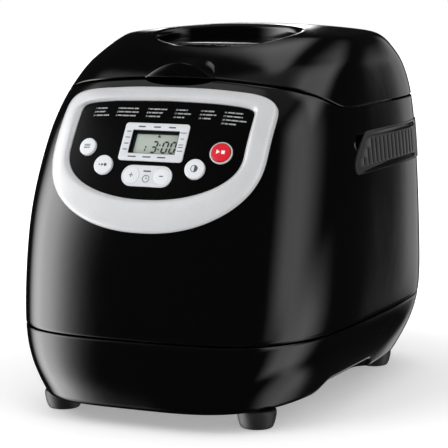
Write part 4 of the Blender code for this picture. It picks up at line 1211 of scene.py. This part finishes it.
def face_y(x, z):
    """How far forward the outer form comes at a place seen from the front."""
    half_width, front, rear = form_at(z)
    bulge = (1 - abs(x / half_width) ** SQUARENESS) ** (1 / SQUARENESS)
    return float((rear + front) / 2 - (rear - front) / 2 * bulge)


def make_lip():
    """The finger lip: an upright front up to a fine ridge, and a dished shelf running back into the lid."""
    sections = []
    for angle in range(-90, 91, 2):
        x = LIP_HALF * math.sin(math.radians(angle))
        low = float(lid_line(x, LID_STEP_Y[1])) + LID_GAP + 0.0001
        share = 1 - (x / (LIP_HALF + 0.0005)) ** 2
        ridge = low + max(LIP_RISE * share ** 1.15, 0.0005)
        shelf = max(low + SHELF_RISE * share ** 0.55, ridge + 0.0006)
        front = face_y(x, low) - 0.0003 - LIP_REACH * math.sqrt(share)
        back = face_y(x, shelf)
        run = back - front
        lean = 0.0006 * (ridge - low) / LIP_RISE
        row = [(front + 0.0008, low), (front + 0.0002, low + 0.0002), (front, low + 0.0007),
               (front + lean * 0.5, (low + ridge) / 2), (front + lean, ridge - 0.0007),
               (front + lean + 0.0002, ridge - 0.0002), (front + lean + 0.0006, ridge)]
        for part, rise in ((0.10, -0.03), (0.22, 0.02), (0.36, 0.12), (0.52, 0.27), (0.68, 0.46), (0.84, 0.71),
                           (1.0, 1.0)):
            row.append((front + lean + 0.0006 + (run - lean - 0.0006) * part, ridge + (shelf - ridge) * rise))
        row += [(back + 0.0014, shelf - 0.0010), (face_y(x, (low + shelf) / 2) + 0.0016, (low + shelf) / 2),
                (face_y(x, low) + 0.0016, low)]
        sections.append([(x, y, z) for y, z in row])
    data = skin("finger_lip", sections, first_cap=True, last_cap=True, flip=True)
    piece("finger_lip", data, "lid", "body_black", ["lid_grip"], sharp=32)


def make_window():
    """The glass and the ledge that holds it."""
    wide, tall = WINDOW
    deep, short = WELL_FLOOR
    ledge = []
    for half_x, half_y, z in ((wide + 0.0014, tall + 0.0014, GLASS_Z - 0.0034),
                              (wide + 0.0014, tall + 0.0014, GLASS_Z - 0.0012),
                              (wide - 0.0002, tall - 0.0002, GLASS_Z - 0.0010),
                              (wide - 0.0010, tall - 0.0010, GLASS_Z - 0.0002),
                              (wide - 0.0020, tall - 0.0020, GLASS_Z), (deep + 0.0006, short + 0.0006, GLASS_Z),
                              (deep + 0.0002, short + 0.0002, GLASS_Z - 0.0003),
                              (deep + 0.0002, short + 0.0002, GLASS_Z - 0.0034)):
        ledge.append(level(window_ring(half_x, half_y), z))
    piece("window_ledge", skin("window_ledge", ledge, closed_rows=True), "lid", "body_black", ["window_well"],
          sharp=50)
    glass = []
    for share, z in ((0.99, GLASS_Z - 0.0030), (1.0, GLASS_Z - 0.0026), (1.0, GLASS_Z - 0.0004),
                     (0.99, GLASS_Z - 0.0001), (0.85, GLASS_Z + 0.0006), (0.60, GLASS_Z + 0.0012),
                     (0.30, GLASS_Z + 0.0016), (0.08, GLASS_Z + 0.0017)):
        glass.append(level(window_ring(deep * share, short * share), z))
    piece("window_pane", skin("window_pane", glass, first_cap=True, last_cap=True), "lid", "window_glass",
          ["lid_window"])


def make_lid_liner():
    """The pressed metal liner under the lid, with a swaged rim and a raised collar round the window."""
    controls = []
    for half_x, half_y, middle_y, z, power in (
            (0.1050, 0.1140, 0.0310, 0.2190, SQUARENESS), (0.1048, 0.1138, 0.0310, 0.2215, SQUARENESS),
            (0.1040, 0.1130, 0.0310, 0.2260, SQUARENESS), (0.1010, 0.1085, 0.0310, 0.2350, SQUARENESS),
            (0.0970, 0.1020, 0.0310, 0.2430, 3.4), (0.0900, 0.0890, 0.0315, 0.2520, 3.1),
            (0.0800, 0.0740, 0.0300, 0.2562, 2.8), (0.0660, 0.0530, 0.0140, 0.2578, 2.5),
            (0.0540, 0.0390, 0.0020, 0.2590, 2.3), (0.0500, 0.0350, 0.0, 0.2615, 2.3),
            (0.0480, 0.0330, 0.0, 0.2660, 2.3), (0.0468, 0.0318, 0.0, 0.2690, 2.3)):
        x, y = unit_oval(AROUND, power, half_y / half_x)
        controls.append(np.column_stack((x * half_x, middle_y + y * half_y, np.full(AROUND, z))))
    outer = spline(controls, 60)
    inner = outer.copy()
    centre = np.array((0.0, 0.028, 0.0))
    inner[..., :2] = centre[:2] + (inner[..., :2] - centre[:2]) * 0.992
    inner[..., 2] -= 0.0006 * np.linspace(0, 1, len(inner))[:, None]
    data = skin("lid_lining", list(outer) + list(inner[::-1]), closed_rows=True)
    piece("lid_lining", data, "lid", "liner_metal", ["lid_liner"], sharp=60)


# ---- chamber, pan and drive ------------------------------------------------------------------------------
def make_chamber():
    """The pressed chamber with a rolled flange, and the element round its floor."""
    half_x, half_y = CHAMBER_HALF
    count = 160

    def outline(grow, radius):
        return rounded_ring(half_x + grow, half_y + grow, radius, count)

    flange = DECK_TOP + 0.0003
    controls = [level(outline(0.0065, 0.0285), flange), level(outline(0.0065, 0.0285), flange + 0.0009),
                level(outline(0.0055, 0.0275), flange + 0.0012), level(outline(0.0030, 0.0250), flange + 0.0012),
                level(outline(0.0005, 0.0225), flange + 0.0009), level(outline(0.0, 0.0220), flange - 0.0015),
                level(outline(0.0, 0.0220), 0.2080), level(outline(0.0, 0.0220), 0.1600),
                level(outline(0.0, 0.0220), 0.1100), level(outline(0.0, 0.0220), 0.0680),
                level(outline(-0.0010, 0.0210), 0.0610), level(outline(-0.0040, 0.0190), 0.0580),
                level(outline(-0.0090, 0.0160), CHAMBER_FLOOR), level(outline(-0.0300, 0.0160), CHAMBER_FLOOR),
                level(outline(-0.0550, 0.0120), CHAMBER_FLOOR)]
    angles = unit_oval(count, 4.5, half_y / half_x)
    way = np.arctan2(angles[1] * half_y, angles[0] * half_x)
    hole = np.column_stack((0.0068 * np.cos(way), CHAMBER_Y + 0.0068 * np.sin(way)))
    inside = list(spline(controls, 90)) + [level(hole, CHAMBER_FLOOR)]
    outside = [level(hole, CHAMBER_FLOOR - 0.0008), level(outline(-0.0060, 0.0190), CHAMBER_FLOOR - 0.0008),
               level(outline(0.0009, 0.0229), 0.0640), level(outline(0.0009, 0.0229), 0.2100),
               level(outline(0.0012, 0.0232), flange)]
    data = skin("baking_chamber", inside + outside, closed_rows=True, flip=True)
    piece("baking_chamber", data, "housing", "liner_metal", ["chamber_liner"], sharp=60)

    loop = rounded_ring(*ELEMENT_HALF, 0.024, 200)
    tail, bend = CHAMBER_Y - half_y + 0.0015, CHAMBER_Y - ELEMENT_HALF[1] - 0.003
    run = [p for p in np.roll(loop, 50, axis=0) if not (abs(p[0]) < ELEMENT_LEGS + 0.006 and p[1] < CHAMBER_Y)]
    run = sorted(run, key=lambda p: math.atan2(p[0], p[1] - CHAMBER_Y))
    path = [(-ELEMENT_LEGS, tail), (-ELEMENT_LEGS, bend), (-ELEMENT_LEGS - 0.0015, bend + 0.0020)]
    path += [tuple(p) for p in run]
    path += [(ELEMENT_LEGS + 0.0015, bend + 0.0020), (ELEMENT_LEGS, bend), (ELEMENT_LEGS, tail)]
    data = pipe("heater", [(x, y, ELEMENT_Z) for x, y in path], ELEMENT_RADIUS)
    piece("heater", data, "housing", "element_steel", ["heating_element"], sharp=60)


def make_pan():
    """The coated pan with a rolled lip, its cast foot, rivets and wire bail."""
    count = 200
    half_x, half_y = PAN_HALF
    foot_x, foot_y = PAN_FOOT_HALF
    controls = []
    for hx, hy, radius, z in ((half_x + 0.0030, half_y + 0.0030, 0.0245, PAN_TOP - 0.0014),
                              (half_x + 0.0030, half_y + 0.0030, 0.0245, PAN_TOP - 0.0003),
                              (half_x + 0.0020, half_y + 0.0020, 0.0235, PAN_TOP),
                              (half_x + 0.0002, half_y + 0.0002, 0.0217, PAN_TOP),
                              (half_x - 0.0014, half_y - 0.0014, 0.0201, PAN_TOP - 0.0010),
                              (half_x - 0.0016, half_y - 0.0016, 0.0199, PAN_TOP - 0.0060),
                              (half_x - 0.0040, half_y - 0.0040, 0.0198, 0.1600),
                              (half_x - 0.0064, half_y - 0.0064, 0.0195, 0.1200),
                              (foot_x - 0.0002, foot_y - 0.0002, 0.0192, 0.0880),
                              (foot_x - 0.0012, foot_y - 0.0012, 0.0185, PAN_FLOOR + 0.0035),
                              (foot_x - 0.0045, foot_y - 0.0045, 0.0160, PAN_FLOOR + 0.0006),
                              (foot_x - 0.0100, foot_y - 0.0100, 0.0120, PAN_FLOOR),
                              (foot_x - 0.0300, foot_y - 0.0300, 0.0110, PAN_FLOOR)):
        controls.append(level(rounded_ring(hx, hy, radius, count), z))
    inside = spline(controls, 80)
    way = np.arctan2(inside[-1][:, 1] - CHAMBER_Y, inside[-1][:, 0])
    hole = np.column_stack((0.0044 * np.cos(way), CHAMBER_Y + 0.0044 * np.sin(way)))
    inside = list(inside) + [level(hole, PAN_FLOOR)]
    outside = [level(hole, PAN_FLOOR - 0.0012)]
    for hx, hy, radius, z in ((foot_x - 0.0040, foot_y - 0.0040, 0.0170, PAN_FLOOR - 0.0012),
                              (foot_x + 0.0004, foot_y + 0.0004, 0.0200, PAN_FLOOR + 0.0035),
                              (foot_x + 0.0010, foot_y + 0.0010, 0.0205, 0.0880),
                              (half_x - 0.0052, half_y - 0.0052, 0.0207, 0.1200),
                              (half_x - 0.0028, half_y - 0.0028, 0.0210, 0.1600),
                              (half_x - 0.0004, half_y - 0.0004, 0.0211, PAN_TOP - 0.0060),
                              (half_x + 0.0004, half_y + 0.0004, 0.0219, PAN_TOP - 0.0014)):
        outside.append(level(rounded_ring(hx, hy, radius, count), z))
    data = skin("loaf_pan", inside + outside, closed_rows=True, flip=True)
    piece("loaf_pan", data, "pan", "pan_coating", ["bread_pan"], sharp=60)

    under = PAN_FLOOR - 0.0015
    profile = rounded_profile(((0.0190, CHAMBER_FLOOR + 0.0004), (0.0340, CHAMBER_FLOOR + 0.0004), (0.0340, 0.0640),
                               (0.0318, 0.0665), (0.0318, under), (0.0190, under),
                               (0.0190, CHAMBER_FLOOR + 0.0004)), 0.0010, 3)
    place = Matrix.Translation((0, CHAMBER_Y, 0))
    piece("pan_casting", ring_lathe("pan_casting", profile[:-1], 72), "pan", "pan_metal", ["pan_foot"], matrix=place)

    corner = 0.015
    side_run = [(BAIL_X, 0.0), (BAIL_X, (BAIL_ARM - corner) / 2), (BAIL_X, BAIL_ARM - corner)]
    for k in range(1, 13):
        angle = math.radians(90 * k / 12)
        side_run.append((BAIL_X - corner + corner * math.cos(angle), BAIL_ARM - corner + corner * math.sin(angle)))
    path = side_run + [(-x, reach) for x, reach in reversed(side_run)]
    points = [(x, CHAMBER_Y + reach * math.cos(BAIL_REST), BAIL_Z + reach * math.sin(BAIL_REST)) for x, reach in path]
    piece("wire_bail", pipe("wire_bail", points, BAIL_WIRE), "bail", "bright_steel", ["bail_handle"], sharp=60)
    turn = Matrix.Rotation(math.radians(90), 4, "Y")
    rivet = rounded_profile(((0.0, -0.0020), (0.0030, -0.0020), (0.0030, 0.0012), (0.0018, 0.0022), (0.0, 0.0023)),
                            0.0008, 3)
    for side, hand in ((-1, "left"), (1, "right")):
        at = Matrix.Translation((side * 0.0889, CHAMBER_Y, BAIL_Z)) @ turn
        if side < 0:
            at = at @ Matrix.Rotation(math.pi, 4, "X")
        piece("bail_stud_" + hand, lathe("bail_stud", rivet[1:-1], 32), "pan", "bright_steel",
              ["bail_rivet_" + hand], matrix=at)


def make_paddle():
    """The coated kneading paddle: a tapered hub and a leaning blade with a rolled edge."""
    hub = rounded_profile(((0.0043, PAN_FLOOR + 0.0005), (0.0115, PAN_FLOOR + 0.0005), (0.0108, 0.0860), (0.0080, 0.0985),
                           (0.0043, 0.0985), (0.0043, PAN_FLOOR + 0.0005)), 0.0012, 4)
    hub_mesh = ring_lathe("hub", hub[:-1], 56)
    sections = []
    for x, low, high, half in ((0.0100, 0.0815, 0.0965, 0.0022), (0.0200, 0.0812, 0.1010, 0.0020),
                               (0.0320, 0.0810, 0.1030, 0.0018), (0.0440, 0.0812, 0.0990, 0.0015),
                               (0.0505, 0.0816, 0.0920, 0.0012), (0.0528, 0.0828, 0.0860, 0.0007)):
        lean = 0.25 * (high - low)
        row = []
        for k in range(24):
            angle = 2 * math.pi * k / 24
            up = signed_power(math.sin(angle), 0.45)
            share = (up + 1) / 2
            row.append((x, half * signed_power(math.cos(angle), 0.6) + lean * share, low + (high - low) * share))
        sections.append(row)
    blade = skin("blade", spline(sections, 30), first_cap=True, last_cap=True)
    data = joined("paddle", [hub_mesh, blade])
    piece("paddle", data, "paddle", "pan_coating", ["kneading_paddle"], matrix=Matrix.Translation((0, CHAMBER_Y, 0)),
          sharp=45)


# ---- carried-over frame pieces ---------------------------------------------------------------------------
def dress_frame():
    """Gives every frame piece that still shows its finish, smooth shading and a softened edge."""
    slots = {row["node"]: row["material_slot"] for row in frame["record"]["subparts"]}
    for name, obj in NODES.items():
        if obj.hide_render:
            continue
        obj.data.materials.clear()
        obj.data.materials.append(LOOKS[slots[name]])
        obj.data.shade_smooth()
        obj.data.set_sharp_from_angle(angle=math.radians(35))
        edge = obj.modifiers.new("edge", "BEVEL")
        edge.width = 0.00025
        edge.segments = 2
        edge.limit_method = "ANGLE"
        edge.angle_limit = math.radians(50)


# ---- studio ----------------------------------------------------------------------------------------------
CAMERA_AZIMUTH = math.radians(24.4024)
CAMERA_ELEVATION = math.radians(7.8067)
CAMERA_DISTANCE = 1.5876
CAMERA_LENS = 160.4
CAMERA_TARGET = Vector((0.0, 0.0, 0.145))
CAMERA_SLIDE = (-0.0048, -0.0162)


def make_camera():
    a, e = CAMERA_AZIMUTH, CAMERA_ELEVATION
    back = Vector((math.sin(a) * math.cos(e), -math.cos(a) * math.cos(e), math.sin(e)))
    right = Vector((math.cos(a), math.sin(a), 0.0))
    up = back.cross(right)
    lens = bpy.data.cameras.new("camera")
    lens.lens = CAMERA_LENS
    lens.sensor_width = 36.0
    lens.clip_start, lens.clip_end = 0.05, 50.0
    camera = bpy.data.objects.new("camera", lens)
    bpy.context.scene.collection.objects.link(camera)
    place = CAMERA_TARGET + right * CAMERA_SLIDE[0] + up * CAMERA_SLIDE[1] + back * CAMERA_DISTANCE
    camera.matrix_world = Matrix.Translation(place) @ Matrix((right, up, back)).transposed().to_4x4()
    bpy.context.scene.camera = camera


LAMPS = (  # turned right of straight ahead, raised (start, full, full, end in degrees), and how bright
    ((234, 274, 286, 322), (-60, -28, 34, 52), 5.7),
    ((76, 112, 120, 148), (-12, -2, 42, 62), 1.45),
    ((62, 92, 108, 136), (-38, -28, -12, -2), 1.45),
    ((30, 62, 76, 110), (-58, -46, -36, -30), 0.70),
    ((16, 22, 36, 46), (-18, -8, 10, 19), 0.50),
    ((12, 14, 18, 24), (-30, -24, -18, -8), 0.50),
    ((290, 300, 322, 333), (36, 46, 80, 95), 0.45),
    ((-12, -4, 2, 12), (36, 44, 60, 74), 0.75),
    ((348, 356, 362, 372), (36, 44, 60, 74), 0.75),
    ((20, 75, 92, 104), (26, 42, 62, 80), 1.20),
    ((-3.5, -2.5, 2.5, 3.5), (3, 5, 10, 12), 4.5),
    ((356.5, 357.5, 362.5, 363.5), (3, 5, 10, 12), 4.5),
    ((-1, 0, 360, 361), (58, 68, 90, 91), 0.18),
)


def make_studio():
    """White surroundings with a painted shadow on the table round the machine, and soft lamps that the gloss picks up
    as broad streaks.
    """
    world = Look("studio", world=True)
    bpy.context.scene.world = world.made
    way = world.node("ShaderNodeTexCoord", output="Generated")
    x, y, z = [world.node("ShaderNodeSeparateXYZ", {}, {0: way}, axis) for axis in "XYZ"]
    a = CAMERA_AZIMUTH
    aside = x * math.cos(a) + y * math.sin(a)
    ahead = y * math.cos(a) - x * math.sin(a)
    turn = aside.maths("ARCTAN2", aside, ahead) * (180 / math.pi)
    turn = turn + 360.0 * turn.maths("LESS_THAN", turn, 0.0)
    height = z.maths("ARCSINE", z) * (180 / math.pi)

    def band(value, limits):
        rise = world.smooth_step(value, limits[0], limits[1])
        return rise * (1 - world.smooth_step(value, limits[2], limits[3]))

    glow = None
    for across, upward, strength in LAMPS:
        lamp = band(turn, across) * band(height, upward) * strength
        glow = lamp if glow is None else glow + lamp
    seen = world.node("ShaderNodeLightPath", output="Is Camera Ray")
    shiny = world.node("ShaderNodeLightPath", output="Is Glossy Ray")
    strength = shiny * (glow + 0.01) + (1 - shiny) * (0.45 + seen * 0.55)
    shine = world.tree.nodes.new("ShaderNodeBackground")
    world.feed(shine.inputs["Color"], grey(1.0))
    world.feed(shine.inputs["Strength"], strength)
    ending = world.tree.nodes.new("ShaderNodeOutputWorld")
    world.tree.links.new(shine.outputs[0], ending.inputs[0])

    for name, place, size, power in (("key", (-0.9, -1.5, 1.6), 1.3, 13.0), ("fill", (1.6, -1.0, 1.0), 1.4, 5.0),
                                     ("top", (0.0, 0.1, 2.2), 2.4, 16.0)):
        lamp = bpy.data.lights.new(name, "AREA")
        lamp.shape = "DISK"
        lamp.size = size
        lamp.energy = power
        holder = bpy.data.objects.new(name, lamp)
        bpy.context.scene.collection.objects.link(holder)
        holder.location = place
        aim = Vector((0, 0, 0.12)) - Vector(place)
        holder.rotation_euler = aim.to_track_quat("-Z", "Y").to_euler()
        holder.visible_glossy = False

    table = plate("table", [circle(0, 0, 6.0, 96)], 0.002)
    table.transform(Matrix.Translation((0, 0, -0.0021)))
    look = Look("table_white_painted_shadow")
    cloud = look.noise(3.0, 2.0)
    away = look.node("ShaderNodeVectorMath", {"operation": "LENGTH"}, {0: look.here}, "Value")
    # The table glows white but dimmer near the machine: a painted contact shadow round its foot.
    glow = look.blend(look.smooth_step(away, 0.20, 0.60), grey(0.34), grey(1.0))
    table.materials.append(look.finish(Base_Color=look.blend(cloud, grey(0.86), grey(0.88)), Roughness=0.9,
                                       Specular_IOR_Level=0.0, Emission_Color=glow, Emission_Strength=1.0))
    floor = bpy.data.objects.new("table", table)
    bpy.context.scene.collection.objects.link(floor)
    floor.visible_glossy = False
    bpy.context.scene.view_settings.view_transform = "Standard"


make_camera()
make_housing()
make_base()
make_feet()
make_inlet()
make_deck()
make_grilles()
make_bezel()
make_fascia()
make_display()
make_buttons()
make_programme_list()
make_lid()
make_lid_liner()
make_chamber()
make_pan()
make_paddle()
dress_frame()
make_studio()
